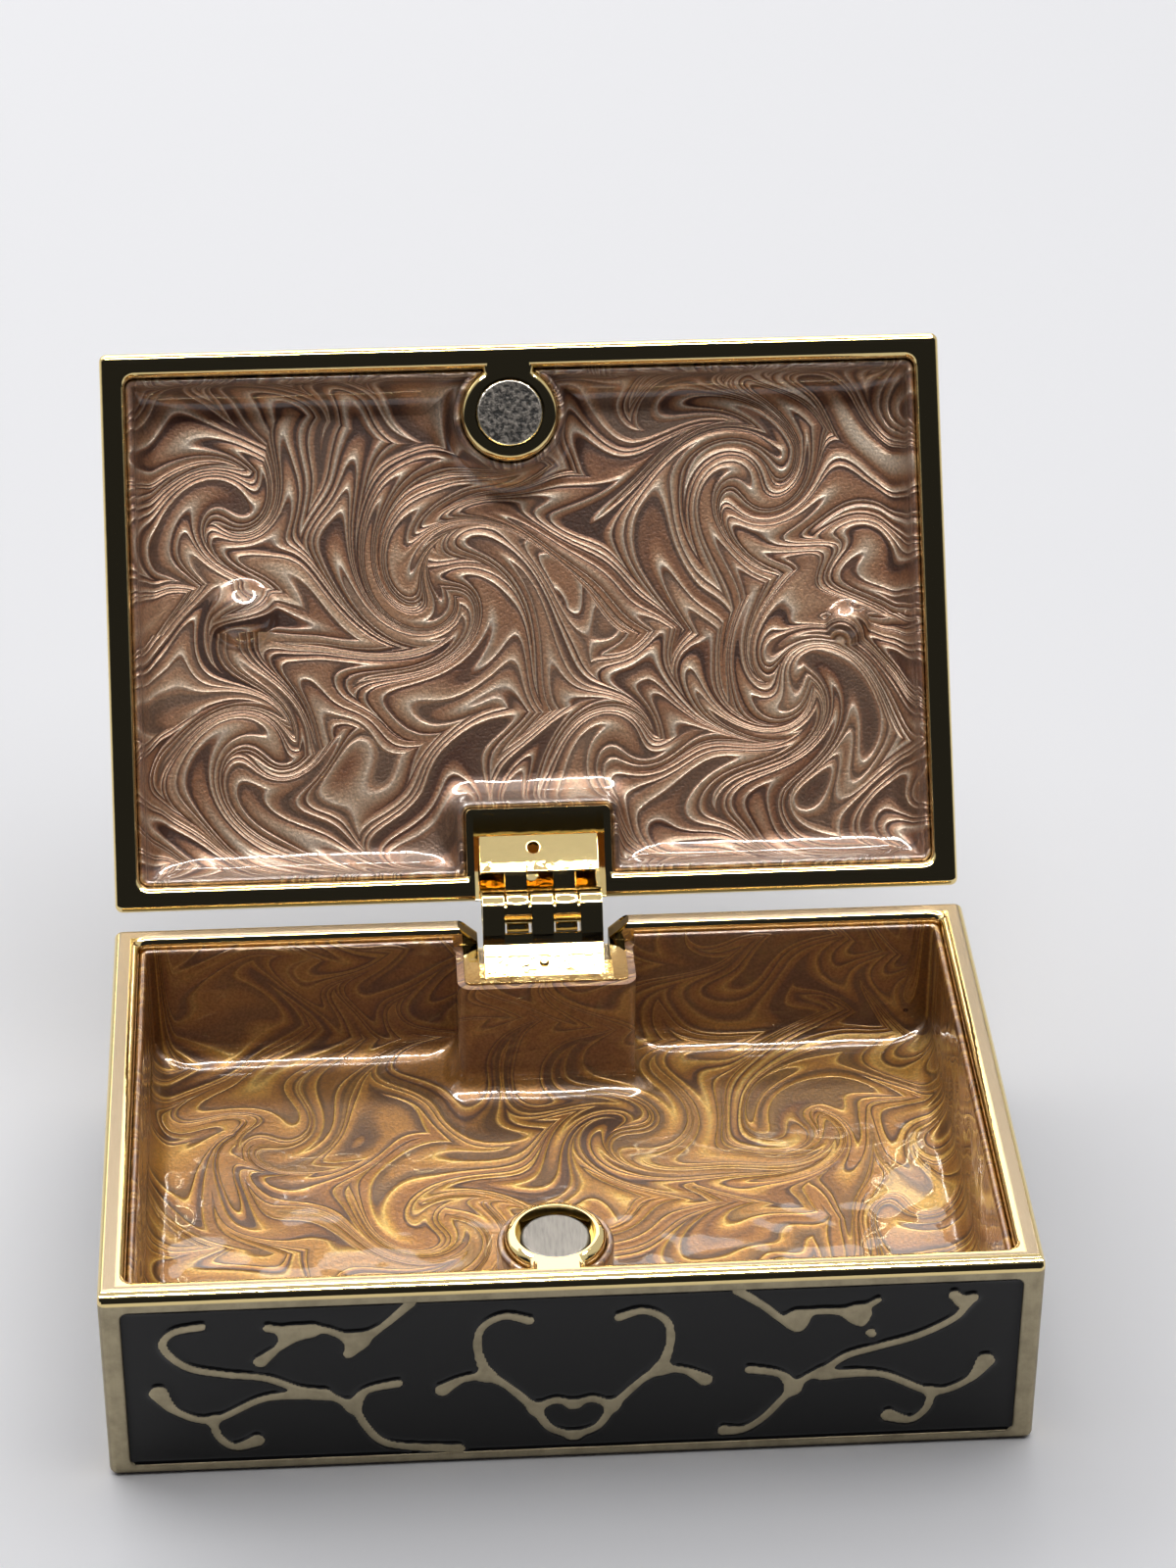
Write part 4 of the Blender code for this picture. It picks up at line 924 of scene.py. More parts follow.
def lining(half, fillet, floor_depth):
    """A tray of enamel in a half's mouth: outside, bead, wall, fillet and floor, trimmed at the block."""
    sections = [(LINING_OUTSIDE, half.height - half.floor - LINING_OUTSIDE)]
    sections += [(inset * MM, BEAD_BELOW_RIM + drop * MM) for inset, drop in BEAD]
    for i in range(FILLET_STEPS + 1):
        turn = math.radians(90 * i / FILLET_STEPS)
        inset = LINING_WALL + fillet * (1 - math.cos(turn))
        sections.append((inset, floor_depth - fillet * (1 - math.sin(turn))))
    beside = POCKET_HALF_WIDTH + half.block_side + LINING_AT_BLOCK
    before = half.pocket_front - half.block_front - LINING_AT_BLOCK
    trimmed = half.block_drop + BEAD_ABOVE_BLOCK
    levels = sorted(half.rim + half.inward * d for d in (trimmed, -half.height))
    at_block = block(
        (HINGE_AT.x - beside, before, levels[0]), (HINGE_AT.x + beside, BOX_DEPTH / 2, levels[1])
    )
    return cut(loft(half, sections), at_block)


base_lining_bm = lining(BASE, BASE_FILLET, BASE_HEIGHT - BASE_LINING_FLOOR)
pin_hole = bmesh.new()
bmesh.ops.create_icosphere(pin_hole, subdivisions=3, radius=PIN_HOLE_RADIUS)
back_wall = BOX_DEPTH / 2 - BASE.back_rim - LINING_WALL
bmesh.ops.translate(pin_hole, vec=(PIN_HOLE_ACROSS, back_wall, PIN_HOLE_UP), verts=pin_hole.verts)
base_lining_bm = cut(base_lining_bm, pin_hole)


# The marbling. Pearl flakes lie along the bands and glint, under clear glass that mirrors the lamps.
# The bands are combed twice, each comb with the axis it runs along, the distance of its teeth, how
# far it drags and its shift in radians. Whirls turn them first, each at a place, with its reach and
# its turn in degrees. Other sizes are in millimetres too: of drifts, of pools across and along the
# bands, of flakes, and of the slow waves on the glass.
HONEY_BAND, MAUVE_BAND = 2.9, 2.1
LINING_COMBS = ((1, 10.0, 4.5, 0.7), (0, 6.5, 6.5, 0.3))
DRIFT_WIDTH, DRIFT_REACH = 16.667, 22.0
BROAD_DRIFTS, BROAD_BANDS = (33.333, 4.0, 10.0), 3.0
POOLS, POOL_SHARE = (14.286, 3.125, 10.0), 0.42
SIDE_WALL_FROM, SIDE_WALL_TO = 26.8, 28.3
# Painted shade: the walls are painted darker than the floor, rising in between these heights above it, up
# to the share given.
WALL_FROM, WALL_TO, WALL_PAINTED_SHADE = 0.4, 2.2, 0.56
FLAKE_WIDTH, FLAKE_HEIGHT, BAND_RELIEF = 0.2, 0.08, 0.2
GLASS_WAVE, GLASS_WAVE_HEIGHT = 4.5455, 0.5
BASE_WHIRLS = (
    (-20, 9, 4.0, 130),
    (-8, -2, 4.6, -150),
    (-21, -10, 3.8, 120),
    (6, 8, 4.4, 140),
    (18, 8, 4.6, -140),
    (15, -9, 4.6, 130),
    (25, -1, 3.2, 110),
)


def marbled(name, opened, floor, band, stops, pools, walls, whirls):
    """Marbled pearl enamel for a lining turned open by some degrees. Its floor is its height shut."""
    made, tree, shader, mm = new_material(name)
    hinge = HINGE_AT / MM
    plan = add_node(tree, "VectorMath", {0: mm, 1: hinge}, operation="SUBTRACT")
    plan = add_node(
        tree, "VectorRotate", {"Vector": plan, "Angle": math.radians(opened)}, rotation_type="X_AXIS"
    )
    plan = add_node(tree, "VectorMath", {0: plan, 1: hinge}, operation="ADD")
    place = add_node(tree, "SeparateXYZ", {0: plan}).outputs
    climb = add_node(tree, "Math", {0: place["Z"], 1: floor}, operation="SUBTRACT")
    climb = add_node(tree, "Math", {0: climb}, operation="ABSOLUTE")
    sideways = add_node(tree, "Math", {0: place["X"]}, operation="ABSOLUTE")
    fading = {"From Min": SIDE_WALL_FROM, "From Max": SIDE_WALL_TO, "To Min": 1.0, "To Max": 0.0}
    between = add_node(
        tree, "MapRange", {"Value": sideways, **fading}, interpolation_type="SMOOTHSTEP"
    )
    rise = add_node(tree, "Math", {0: climb, 1: between}, operation="MULTIPLY")
    way = add_node(tree, "Math", {0: place["Y"]}, operation="SIGN")
    along = add_node(tree, "Math", {0: rise, 1: way, 2: place["Y"]}, operation="MULTIPLY_ADD")
    drawn = add_node(tree, "CombineXYZ", {0: place["X"], 1: along})
    for x, y, reach, angle in whirls:
        turn = add_node(tree, "VectorMath", {0: drawn, 1: (x, y, 0.0)}, operation="DISTANCE")
        turn = add_node(tree, "Math", {0: turn, 1: 1.0 / reach}, operation="MULTIPLY")
        turn = add_node(tree, "Math", {0: turn, 1: 2.0}, operation="POWER")
        turn = add_node(tree, "Math", {0: turn, 1: -1.0}, operation="MULTIPLY")
        turn = add_node(tree, "Math", {0: turn}, operation="EXPONENT")
        turn = add_node(tree, "Math", {0: turn, 1: math.radians(angle)}, operation="MULTIPLY")
        drawn = add_node(
            tree,
            "VectorRotate",
            {"Vector": drawn, "Center": (x, y, 0.0), "Angle": turn},
            rotation_type="Z_AXIS",
        )
    slow = add_node(tree, "TexNoise", {"Vector": drawn, "Scale": 1 / DRIFT_WIDTH, "Detail": 1.0})
    drift = add_node(
        tree, "VectorMath", {0: slow.outputs["Color"], 1: (-0.5, -0.5, -0.5)}, operation="ADD"
    )
    drift_reach = (DRIFT_REACH, DRIFT_REACH, 0.0)
    drawn = add_node(tree, "VectorMath", {0: drift, 1: drift_reach, 2: drawn}, operation="MULTIPLY_ADD")
    for axis, spacing, reach, shift in LINING_COMBS:
        teeth = add_node(tree, "SeparateXYZ", {0: drawn}).outputs[axis]
        teeth = add_node(tree, "Math", {0: teeth, 1: math.pi / spacing, 2: shift}, operation="MULTIPLY_ADD")
        teeth = add_node(tree, "Math", {0: teeth}, operation="SINE")
        teeth = add_node(tree, "Math", {0: teeth}, operation="ABSOLUTE")
        drag = (0.0, reach, 0.0) if axis == 0 else (reach, 0.0, 0.0)
        drag = add_node(tree, "VectorMath", {0: drag, "Scale": teeth}, operation="SCALE")
        drawn = add_node(tree, "VectorMath", {0: drawn, 1: drag}, operation="ADD")
    broad = add_node(tree, "Mapping", {"Vector": drawn, "Scale": [1 / width for width in BROAD_DRIFTS]})
    broad = add_node(tree, "TexNoise", {"Vector": broad, "Scale": 1.0, "Detail": 1.0})
    bands = add_node(tree, "SeparateXYZ", {0: drawn}).outputs["Y"]
    bands = add_node(tree, "Math", {0: bands, 1: 1 / band}, operation="MULTIPLY")
    bands = add_node(tree, "Math", {0: broad, 1: BROAD_BANDS, 2: bands}, operation="MULTIPLY_ADD")
    vein = add_node(tree, "Math", {0: bands}, operation="FLOOR")
    in_vein = add_node(tree, "Math", {0: bands}, operation="FRACT")
    ramp = add_node(tree, "ValToRGB", {"Fac": in_vein})
    elements = ramp.color_ramp.elements
    for element, (position, colour) in zip(elements, (stops[0], stops[-1])):
        element.position, element.color = position, linear(colour)
    for position, colour in stops[1:-1]:
        elements.new(position).color = linear(colour)
    luck = add_node(tree, "TexWhiteNoise", {"W": vein}, noise_dimensions="1D")
    faint = add_node(tree, "Math", {0: luck, 1: POOL_SHARE}, operation="MULTIPLY")
    pooled = add_node(tree, "Mapping", {"Vector": drawn, "Scale": [1 / width for width in POOLS]})
    pooled = add_node(
        tree, "TexNoise", {"Vector": pooled, "Scale": 1.0, "Detail": 2.5, "Roughness": 0.5}
    )
    pooled = add_node(tree, "MapRange", {"Value": pooled, "From Min": 0.38, "From Max": 0.62})
    pool_tones = {COLOUR_A: linear(pools[0]), COLOUR_B: linear(pools[1])}
    pool = add_node(tree, "Mix", {0: pooled, **pool_tones}, data_type="RGBA")
    veins = add_node(tree, "Mix", {0: faint, COLOUR_A: ramp, COLOUR_B: pool}, data_type="RGBA")
    # Painted shade: the walls take flat darker tones, one on the side walls and one on the walls between,
    # as though turned from the lamps.
    wall_shade_tones = {COLOUR_A: linear(walls[0]), COLOUR_B: linear(walls[1])}
    wall = add_node(tree, "Mix", {0: between, **wall_shade_tones}, data_type="RGBA")
    wall_shade_share = add_node(
        tree,
        "MapRange",
        {"Value": climb, "From Min": WALL_FROM, "From Max": WALL_TO, "To Max": WALL_PAINTED_SHADE},
        interpolation_type="SMOOTHSTEP",
    )
    colour = add_node(tree, "Mix", {0: wall_shade_share, COLOUR_A: veins, COLOUR_B: wall}, data_type="RGBA")
    # Painted glint: the flakes' sparkle is painted into the colour, in specks from a little darker up to
    # 1.4 times as bright.
    flakes = add_node(tree, "TexNoise", {"Vector": mm, "Scale": 1 / FLAKE_WIDTH, "Detail": 2.0})
    glint = add_node(
        tree,
        "MapRange",
        {"Value": flakes, "From Min": 0.3, "From Max": 0.75, "To Min": 0.78, "To Max": 1.4},
    )
    colour = add_node(tree, "VectorMath", {0: colour, "Scale": glint}, operation="SCALE")
    relief = add_node(tree, "Bump", {"Height": veins, "Strength": 0.6, "Distance": BAND_RELIEF * MM})
    glitter = add_node(
        tree,
        "Bump",
        {"Height": flakes, "Strength": 0.4, "Distance": FLAKE_HEIGHT * MM, "Normal": relief},
    )
    waves = add_node(tree, "TexNoise", {"Vector": mm, "Scale": 1 / GLASS_WAVE, "Detail": 1.0})
    glass = add_node(
        tree, "Bump", {"Height": waves, "Strength": 0.5, "Distance": GLASS_WAVE_HEIGHT * MM}
    )
    set_inputs(
        shader,
        {
            "Base Color": colour,
            "Metallic": 0.2,
            "Roughness": 0.42,
            "Normal": glitter,
            "Coat Weight": 1.0,
            "Coat Roughness": 0.03,
            "Coat IOR": 1.6,
            "Coat Normal": glass,
        },
    )
    return made


HONEY_STOPS = (
    (0.0, "482808"),
    (0.14, "54300e"),
    (0.3, "98611e"),
    (0.5, "a87026"),
    (0.72, "cc963a"),
    (0.82, "ecc264"),
    (0.92, "9c681f"),
    (1.0, "482808"),
)
honey = marbled(
    "marbled_honey_enamel",
    opened=0.0,
    floor=BASE_LINING_FLOOR / MM,
    band=HONEY_BAND,
    stops=HONEY_STOPS,
    pools=("5a320a", "cc983a"),
    # The wall tones are painted shade: the side walls darker brown, the back, front and block walls mauve
    # brown.
    walls=("6c3f1a", "785c54"),
    whirls=BASE_WHIRLS,
)
finish_piece(
    "base_marbled_lining",
    base_lining_bm,
    honey,
    "base",
    "honey_enamel",
    "base_lining_enamel",
    smooth_angle=LINING_SMOOTH_ANGLE,
)


# Outer panels of the base. Black glass enamel, filled round the scrollwork to just below the face.
# It creeps up the metal all round, which draws a soft dark line beside every stroke. Fired glass is
# smooth, so it mirrors the room, with slow waves.
ENAMEL_BELOW_FACE = 0.25 * MM
CREEP_HEIGHT = 0.17 * MM
CREEP_REACH = 0.15 * MM
PLAIN_FILL_STEP = 0.5 * MM
FILL_SMOOTH_ANGLE = 60.0
BLACK_WAVE, BLACK_WAVE_HEIGHT = 1.25, 0.05


def enamel_fill(width, height, field):
    """A panel's filling in the panel's own frame, with its surface drawn up to the metal."""
    columns, rows = round(width / PLAIN_FILL_STEP), round(height / PLAIN_FILL_STEP)
    if field:
        columns, rows = field.columns, field.rows
    bm = bmesh.new()
    bmesh.ops.create_grid(bm, x_segments=columns, y_segments=rows, size=0.5)
    bmesh.ops.transform(bm, matrix=Matrix.Diagonal((width, height, 1.0, 1.0)), verts=bm.verts)
    for vertex in bm.verts:
        near = min(width / 2 - abs(vertex.co.x), height / 2 - abs(vertex.co.y))
        if field:
            i = round((vertex.co.x / width + 0.5) * columns) + FIELD_MARGIN
            j = round((vertex.co.y / height + 0.5) * rows) + FIELD_MARGIN
            near = max(min(near, field.gaps[i][j]), 0.0)
        vertex.co.z = CREEP_HEIGHT * math.exp(-near / CREEP_REACH) - ENAMEL_BELOW_FACE
    border = [e for e in bm.edges if e.is_boundary]
    grown = bmesh.ops.extrude_edge_only(bm, edges=border)["geom"]
    for vertex in (v for v in grown if isinstance(v, bmesh.types.BMVert)):
        vertex.co.z = -WELL_DEPTH
    bmesh.ops.contextual_create(bm, geom=[e for e in bm.edges if e.is_boundary])
    bmesh.ops.recalc_face_normals(bm, faces=bm.faces)
    return bm


black, black_tree, black_shader, black_mm = new_material("black_glass_enamel")
black_waves = add_node(black_tree, "TexNoise", {"Vector": black_mm, "Scale": 1 / BLACK_WAVE, "Detail": 3.0})
black_bump = add_node(
    black_tree, "Bump", {"Height": black_waves, "Strength": 0.3, "Distance": BLACK_WAVE_HEIGHT * MM}
)
set_inputs(
    black_shader, {"Base Color": linear("121110"), "Roughness": 0.2, "IOR": 1.4, "Normal": black_bump}
)


def fill_wells(wells, fillings, body, pose):
    """Fills each well of a half with black enamel, and turns the filling to the half's pose."""
    for (face, width, height), (name, field, nodes) in zip(wells, fillings):
        filling = enamel_fill(width, height, field)
        bmesh.ops.transform(filling, matrix=pose @ face, verts=filling.verts)
        finish_piece(name, filling, black, body, "black_enamel", *nodes, smooth_angle=FILL_SMOOTH_ANGLE)


base_fillings = (
    ("base_front_filling", front_field, ("base_front_enamel", "base_front_enamel_heart")),
    ("base_back_filling", None, ("base_back_enamel",)),
    ("base_left_filling", side_field, ("base_left_enamel",)),
    ("base_right_filling", side_field, ("base_right_enamel",)),
)
fill_wells(base_wells, base_fillings, "base", Matrix.Identity(4))


# Hinge. Two leaves of gilt brass strip, their tabs rolled into five knuckles round a thick pin. The
# lid's knuckles don't close all the way, so the pin shows. A rivet holds the base's leaf. The strip
# is polished and mirrors like the castings, but for rough bands where it meets them.
BORE_RADIUS = 1.0 * MM
PIN_RADIUS = 0.95 * MM
KNUCKLE_WIDTH = 1.64 * MM
KNUCKLE_GAP = 0.15 * MM
BASE_ROLL_FROM, BASE_ROLL_TO = 25.0, 310.0
BASE_STRIP = 2.23 * MM
BASE_SLOT = 1.4 * MM
FOOT_LENGTH = 4.1 * MM
LID_ROLL_FROM, LID_ROLL_TO = -101.8, 174.2
NECK_AT, NECK_END = 1.02 * MM, 2.9 * MM
PLATE_SLOPE = 22.0
PLATE_RUN = 2.75 * MM
RIVET_HOLE, HOLE_ALONG, HOLE_ASIDE = 0.46 * MM, 1.9 * MM, 0.4 * MM
RIVET_RADIUS, RIVET_ALONG, RIVET_FLATTENED = 0.36 * MM, 1.45 * MM, 0.5
NECK_TOP, NECK_OVERLAP = 1.58 * MM, 0.05 * MM
PIN_SHORTER, PIN_EDGE = 0.1 * MM, 0.08 * MM
STRIP_EDGE, STRIP_EDGE_STEPS = 0.07 * MM, 2
ROLL_STEPS = 24
HINGE_PITS, LID_LEAF_PITS = (3.8, 5.2), (2.95, 3.75)
OPEN_ANGLE = frame["joints"][0]["range_deg"][1]
OPEN_LID = Matrix.Translation(HINGE_AT) @ turned(-OPEN_ANGLE, "X") @ Matrix.Translation(-HINGE_AT)

leaf_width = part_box("hinge_base_leaf")[1].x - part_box("hinge_base_leaf")[0].x
pitch = KNUCKLE_WIDTH + KNUCKLE_GAP


def strip_in_hinge(profile, first, last):
    """A profile, of runs forward and rises from the axis, extruded from one knuckle to another."""
    left = HINGE_AT.x - leaf_width / 2 + first * pitch
    right = HINGE_AT.x - leaf_width / 2 + last * pitch + KNUCKLE_WIDTH
    middle = (left + right) / 2
    place = Matrix(((0, 0, 1, middle), (-1, 0, 0, HINGE_AT.y), (0, 1, 0, HINGE_AT.z), (0, 0, 0, 1)))
    return prism(profile, (right - left) / 2, place)


def offset_bend(bend, first_normal, second_normal, depth):
    """The corner of a bent strip's other side."""
    return Vector(bend) - (first_normal + second_normal) * depth / (1 + first_normal.dot(second_normal))


leave = math.radians(BASE_ROLL_FROM)
out_of_roll = Vector((math.cos(leave), math.sin(leave)))
down_strip = Vector((math.sin(leave), -math.cos(leave)))
out_of_foot = Vector((math.sin(LEAF_SLOPE), math.cos(LEAF_SLOPE)))
down_foot = Vector((math.cos(LEAF_SLOPE), -math.sin(LEAF_SLOPE)))
strip_top = out_of_roll * BARREL_RADIUS
base_bend = strip_top + down_strip * BASE_STRIP
under_bend = offset_bend(base_bend, out_of_roll, out_of_foot, LEAF_THICKNESS)
toe = base_bend + down_foot * FOOT_LENGTH
foot = [toe, toe - out_of_foot * LEAF_THICKNESS, under_bend]
rolled = arc((0, 0), BARREL_RADIUS, BASE_ROLL_FROM, BASE_ROLL_TO, ROLL_STEPS)
rolled += arc((0, 0), BORE_RADIUS, BASE_ROLL_TO, BASE_ROLL_FROM, ROLL_STEPS)
knuckle = [tuple(v) for v in (base_bend, *rolled, under_bend)]
slot_edge = strip_top + down_strip * BASE_SLOT
apron = [slot_edge, base_bend, *foot, slot_edge - out_of_roll * LEAF_THICKNESS]
base_leaf_bm = strip_in_hinge([tuple(v) for v in apron], 0, 4)
for number in (0, 2, 4):
    add_to(base_leaf_bm, strip_in_hinge(knuckle, number, number))
rivet_at = base_bend + down_foot * RIVET_ALONG
rivet_bm = bmesh.new()
bmesh.ops.create_uvsphere(rivet_bm, u_segments=24, v_segments=12, radius=RIVET_RADIUS)
bmesh.ops.transform(
    rivet_bm,
    matrix=Matrix.Translation((HINGE_AT.x, HINGE_AT.y - rivet_at.x, HINGE_AT.z + rivet_at.y))
    @ Matrix.Rotation(LEAF_SLOPE, 4, "X")
    @ Matrix.Diagonal((1.0, 1.0, RIVET_FLATTENED, 1.0)),
    verts=rivet_bm.verts,
)
soften(base_leaf_bm, STRIP_EDGE, STRIP_EDGE_STEPS)
add_to(base_leaf_bm, rivet_bm)

plate_turn = math.radians(PLATE_SLOPE)
up_plate = Vector((math.cos(plate_turn), math.sin(plate_turn)))
out_of_plate = Vector((math.sin(plate_turn), -math.cos(plate_turn)))
lid_bend = Vector((NECK_END, NECK_AT))
plate_toe = lid_bend + up_plate * PLATE_RUN / up_plate.x
over_bend = offset_bend(lid_bend, Vector((0.0, -1.0)), out_of_plate, LEAF_THICKNESS)
plate = [lid_bend, plate_toe, plate_toe - out_of_plate * LEAF_THICKNESS, over_bend]
plate_bm = strip_in_hinge([tuple(v) for v in plate], 0, 4)
hole_at = lid_bend + up_plate * HOLE_ALONG
hole = round_bar(
    RIVET_HOLE,
    3 * LEAF_THICKNESS,
    Matrix.Translation((HINGE_AT.x - HOLE_ASIDE, HINGE_AT.y - hole_at.x, HINGE_AT.z + hole_at.y))
    @ Matrix.Rotation(-plate_turn, 4, "X"),
    sides=24,
)
lid_leaf_bm = cut(plate_bm, hole)
neck = [(0.0, NECK_AT), (NECK_END + NECK_OVERLAP, NECK_AT), tuple(over_bend), (0.0, NECK_TOP)]
lid_rolled = arc((0, 0), BARREL_RADIUS, LID_ROLL_FROM, LID_ROLL_TO, ROLL_STEPS)
lid_rolled += arc((0, 0), BORE_RADIUS, LID_ROLL_TO, LID_ROLL_FROM, ROLL_STEPS)
for number in (1, 3):
    add_to(lid_leaf_bm, strip_in_hinge(neck, number, number))
    add_to(lid_leaf_bm, strip_in_hinge(lid_rolled, number, number))
soften(lid_leaf_bm, STRIP_EDGE, STRIP_EDGE_STEPS)
bmesh.ops.transform(lid_leaf_bm, matrix=OPEN_LID, verts=lid_leaf_bm.verts)
pin_bm = round_bar(
    PIN_RADIUS,
    leaf_width - PIN_SHORTER,
    Matrix.Translation(HINGE_AT) @ turned(90, "Y"),
    edge=PIN_EDGE,
)

hinge_gilt = polished_gilt("polished_gilt_brass", HINGE_PITS)[0]
lid_leaf_gilt = polished_gilt("polished_gilt_brass_tab", LID_LEAF_PITS)[0]
finish_piece("hinge_base_leaf_gilt", base_leaf_bm, hinge_gilt, "base", "polished_gilt", "hinge_base_leaf")
finish_piece("hinge_lid_leaf_gilt", lid_leaf_bm, lid_leaf_gilt, "lid", "polished_gilt", "hinge_lid_leaf")
finish_piece("hinge_pin_gilt", pin_bm, hinge_gilt, "base", "polished_gilt", "hinge_pin")


# Lid casting. The same alloy and plating, cast to the same outline, with a well for each outer panel
# and the top's scrollwork. All of it is polished, so its rim mirrors the dark side of the room.
LID_HEIGHT = 7.0 * MM
CLOSED_GAP = 0.2 * MM
LID_SIDE_FRAME = 1.2 * MM
LID_MOUTH_SIDE = 0.7 * MM
TOP_FIELD_STEP, TOP_WEIGHT = 0.2 * MM, 1.3
TOP_HEART_WIDE, TOP_HEART_HIGH = 0.75, 0.66
LID_RIM = BASE_HEIGHT + CLOSED_GAP
LID = SimpleNamespace(
    rim=LID_RIM,
    inward=1,
    height=LID_HEIGHT,
    floor=2.0 * MM,
    back_rim=RIM_WIDTH,
    pocket_front=14.157 * MM,
    block_front=0.45 * MM,
    block_side=0.6 * MM,
    block_drop=0.3 * MM,
    seat_radius=3.6 * MM,
    bore_radius=2.6 * MM,
    bore_depth=1.7 * MM,
)
LID_PANEL_HEIGHT = LID_HEIGHT - 2 * LID_SIDE_FRAME
LID_MIDDLE = LID_RIM + LID_HEIGHT / 2
TOP_FACE = face_matrix((0.0, 0.0, LID_RIM + LID_HEIGHT), (1, 0, 0), (0, 1, 0))
LID_FRONT_FACE = face_matrix((0.0, -BOX_DEPTH / 2, LID_MIDDLE), (1, 0, 0), (0, 0, 1))
LID_LEFT_FACE = face_matrix((-BOX_WIDTH / 2, 0.0, LID_MIDDLE), (0, -1, 0), (0, 0, 1))
LID_RIGHT_FACE = face_matrix((BOX_WIDTH / 2, 0.0, LID_MIDDLE), (0, 1, 0), (0, 0, 1))
lid_wells = [
    (TOP_FACE, LONG_PANEL, SHORT_PANEL),
    (LID_FRONT_FACE, LONG_PANEL, LID_PANEL_HEIGHT),
    (LID_LEFT_FACE, SHORT_PANEL, LID_PANEL_HEIGHT),
    (LID_RIGHT_FACE, SHORT_PANEL, LID_PANEL_HEIGHT),
]
top_size = (TOP_HEART_WIDE * LONG_PANEL, TOP_HEART_HIGH * SHORT_PANEL)
corner_size = (LONG_PANEL / 2, SHORT_PANEL)
top_strokes = on_both_sides(HEART + HEART_SCROLLS, top_size)
top_strokes += on_both_sides(CORNER_TWIGS, corner_size)
top_strokes += on_both_sides(CORNER_TWIGS, (corner_size[0], -corner_size[1]))
top_field = scroll_field(top_strokes, LONG_PANEL, SHORT_PANEL, TOP_FIELD_STEP, TOP_WEIGHT)
lid_bm = casting(LID, lid_wells)
soften(lid_bm, SOFT_EDGE, SOFT_STEPS, lambda at: at_the_block(LID, at, LID_MOUTH_SIDE))
top_scrolls = scrollwork(top_field)
bmesh.ops.transform(top_scrolls, matrix=TOP_FACE, verts=top_scrolls.verts)
add_to(lid_bm, top_scrolls)
bmesh.ops.transform(lid_bm, matrix=OPEN_LID, verts=lid_bm.verts)
lid_gilt = polished_gilt("polished_gilt_zinc")[0]
finish_piece("lid_gilt_casting", lid_bm, lid_gilt, "lid", "polished_gilt", "lid_casting")


# Lid magnet. Sintered ferrite, pressed from powder, fired and pushed into its cup at the lid's rim.
# Its face is near black with grey grains, and its ground edge is plated and shines as a thin ring.
# The grains are too fine to show, so they are drawn a third of a millimetre wide.
MAGNET_RADIUS = 2.5 * MM
MAGNET_THICKNESS = 1.5 * MM
MAGNET_SUNK = 0.1 * MM
MAGNET_EDGE = 0.22 * MM
PLATED_EDGE = 0.4 * MAGNET_EDGE
FERRITE_DARK, FERRITE_GREY, PLATED_TONE = linear("080808"), linear("726d67"), linear("e6e2da")
FERRITE_ROUGH, PLATED_ROUGH = 0.5, 0.12
FERRITE_METAL, PLATED_METAL = 0.5, 1.0
GRAIN_WIDTH, GRAIN_RELIEF = 1 / 3, 0.1

magnet_at = Matrix.Translation((CATCH_AT.x, CATCH_AT.y, LID_RIM + MAGNET_SUNK + MAGNET_THICKNESS / 2))
magnet_bm = round_bar(MAGNET_RADIUS, MAGNET_THICKNESS, magnet_at, sides=DISC_SIDES, edge=MAGNET_EDGE)
rim_share = magnet_bm.verts.layers.float.new("plated")
for vertex in magnet_bm.verts:
    outward = (vertex.co.xy - CATCH_AT.xy).length
    vertex[rim_share] = min(max((outward - MAGNET_RADIUS + MAGNET_EDGE) / PLATED_EDGE, 0.0), 1.0)
bmesh.ops.transform(magnet_bm, matrix=OPEN_LID, verts=magnet_bm.verts)
sintered, sintered_tree, sintered_shader, sintered_mm = new_material("sintered_ferrite")
grains = add_node(
    sintered_tree,
    "TexNoise",
    {"Vector": sintered_mm, "Scale": 1 / GRAIN_WIDTH, "Detail": 2.0, "Roughness": 0.6},
)
grey_share = add_node(sintered_tree, "MapRange", {"Value": grains, "From Min": 0.4, "From Max": 0.68})
grain_tones = {COLOUR_A: FERRITE_DARK, COLOUR_B: FERRITE_GREY}
magnet_tone = add_node(sintered_tree, "Mix", {0: grey_share, **grain_tones}, data_type="RGBA")
plated = add_node(sintered_tree, "Attribute", attribute_name="plated").outputs["Fac"]
magnet_tones = {COLOUR_A: magnet_tone, COLOUR_B: PLATED_TONE}
magnet_tone = add_node(sintered_tree, "Mix", {0: plated, **magnet_tones}, data_type="RGBA")
magnet_rough = add_node(
    sintered_tree, "MapRange", {"Value": plated, "To Min": FERRITE_ROUGH, "To Max": PLATED_ROUGH}
)
magnet_metal = add_node(
    sintered_tree, "MapRange", {"Value": plated, "To Min": FERRITE_METAL, "To Max": PLATED_METAL}
)
grain_bump = add_node(
    sintered_tree, "Bump", {"Height": grains, "Strength": 0.6, "Distance": GRAIN_RELIEF * MM}
)
set_inputs(
    sintered_shader,
    {"Base Color": magnet_tone, "Roughness": magnet_rough, "Metallic": magnet_metal, "Normal": grain_bump},
)
finish_piece("lid_sintered_magnet", magnet_bm, sintered, "lid", "sintered_magnet", "lid_magnet")


# Lid lining. The same pearl enamel in mauve brown and silver, poured with the lid on its back. Two
# air bubbles rose in it and set as domes. Each is its radius and its place, in millimetres.
LID_LINING_DEPTH = 4.4 * MM
LID_FILLET = 2.2 * MM
BUBBLES = ((3.0, -21.1, -1.4), (2.0, 24.0, 0.6))
BUBBLE_STEEP = 50
BUBBLE_FOOT = 0.25
BUBBLE_ROOT = 0.3 * MM


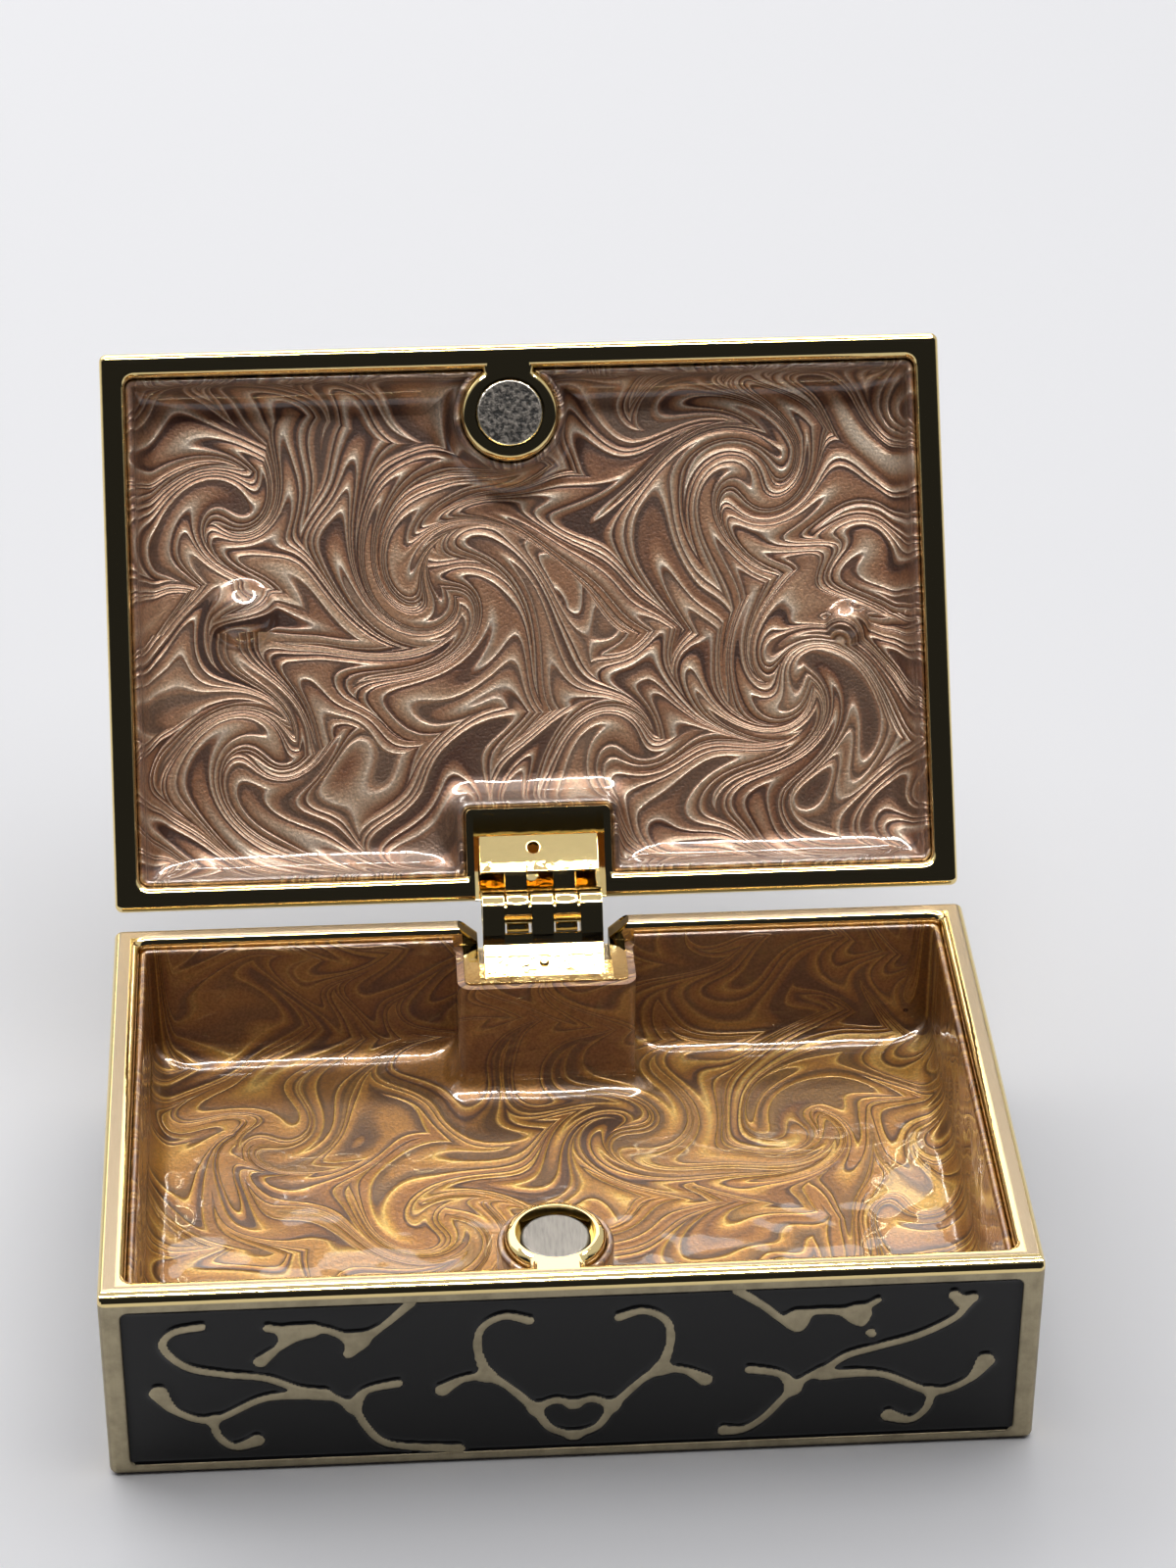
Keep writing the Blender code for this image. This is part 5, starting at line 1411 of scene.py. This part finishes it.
def bubble(radius, x, y, z):
    """A bubble in the enamel: a cap of this radius that hangs from z and runs out in a hollow foot."""
    foot = BUBBLE_FOOT * radius
    out, up = math.sin(math.radians(BUBBLE_STEEP)), math.cos(math.radians(BUBBLE_STEEP))
    foot_at = ((radius + foot) * out, (radius + foot) * up)
    profile = arc((0.0, 0.0), radius, 90, 90 - BUBBLE_STEEP, 8)
    profile += arc(foot_at, foot, 270 - BUBBLE_STEEP, 270, 6)[1:]
    level = profile[-1][1]
    profile += [(profile[-1][0], level - BUBBLE_ROOT)]
    bm = bmesh.new()
    line = [bm.verts.new((run, 0.0, level - rise)) for run, rise in profile]
    edges = [bm.edges.new(pair) for pair in zip(line, line[1:])]
    bmesh.ops.spin(
        bm,
        geom=line + edges,
        cent=(0, 0, 0),
        axis=(0, 0, 1),
        angle=math.radians(360),
        steps=SEAT_STEPS,
        use_merge=True,
    )
    bmesh.ops.remove_doubles(bm, verts=bm.verts, dist=WELD)
    bmesh.ops.contextual_create(bm, geom=[e for e in bm.edges if e.is_boundary])
    bmesh.ops.recalc_face_normals(bm, faces=bm.faces)
    bmesh.ops.translate(bm, vec=(x, y, z), verts=bm.verts)
    return bm


lid_lining_bm = lining(LID, LID_FILLET, LID_LINING_DEPTH)
for radius, x, y in BUBBLES:
    add_to(lid_lining_bm, bubble(radius * MM, x * MM, y * MM, LID_RIM + LID_LINING_DEPTH))
bmesh.ops.transform(lid_lining_bm, matrix=OPEN_LID, verts=lid_lining_bm.verts)
MAUVE_STOPS = (
    (0.0, "482a1a"),
    (0.16, "543220"),
    (0.3, "a06c48"),
    (0.5, "b88a66"),
    (0.7, "d8bea2"),
    (0.8, "fae8d2"),
    (0.9, "a87452"),
    (1.0, "482a1a"),
)
LID_WHIRLS = (
    (-20, 9, 4.0, -120),
    (-6, -3, 5.4, 150),
    (-22, -9, 3.4, -120),
    (7, 9, 3.6, -110),
    (20, 5, 5.4, 130),
    (17, -10, 4.2, -130),
    (26, -4, 3.0, -90),
)
mauve = marbled(
    "marbled_mauve_enamel",
    opened=OPEN_ANGLE,
    floor=(LID_RIM + LID_LINING_DEPTH) / MM,
    band=MAUVE_BAND,
    stops=MAUVE_STOPS,
    pools=("7a482c", "dcb896"),
    # The wall tones are painted shade: the side walls mauve brown, the walls between them darker still.
    walls=("7a5a4c", "5c4c48"),
    whirls=LID_WHIRLS,
)
finish_piece(
    "lid_marbled_lining",
    lid_lining_bm,
    mauve,
    "lid",
    "mauve_enamel",
    "lid_lining_enamel",
    smooth_angle=LINING_SMOOTH_ANGLE,
)


# Outer panels of the lid. The same black glass enamel, filled as in the base: round the scrollwork
# on the top, and plain on the front and the sides, which are thin.
lid_fillings = (
    ("lid_top_filling", top_field, ("lid_top_enamel", "lid_top_enamel_heart")),
    ("lid_front_filling", None, ("lid_front_enamel",)),
    ("lid_left_filling", None, ("lid_left_enamel",)),
    ("lid_right_filling", None, ("lid_right_enamel",)),
)
fill_wells(lid_wells, lid_fillings, "lid", OPEN_LID)
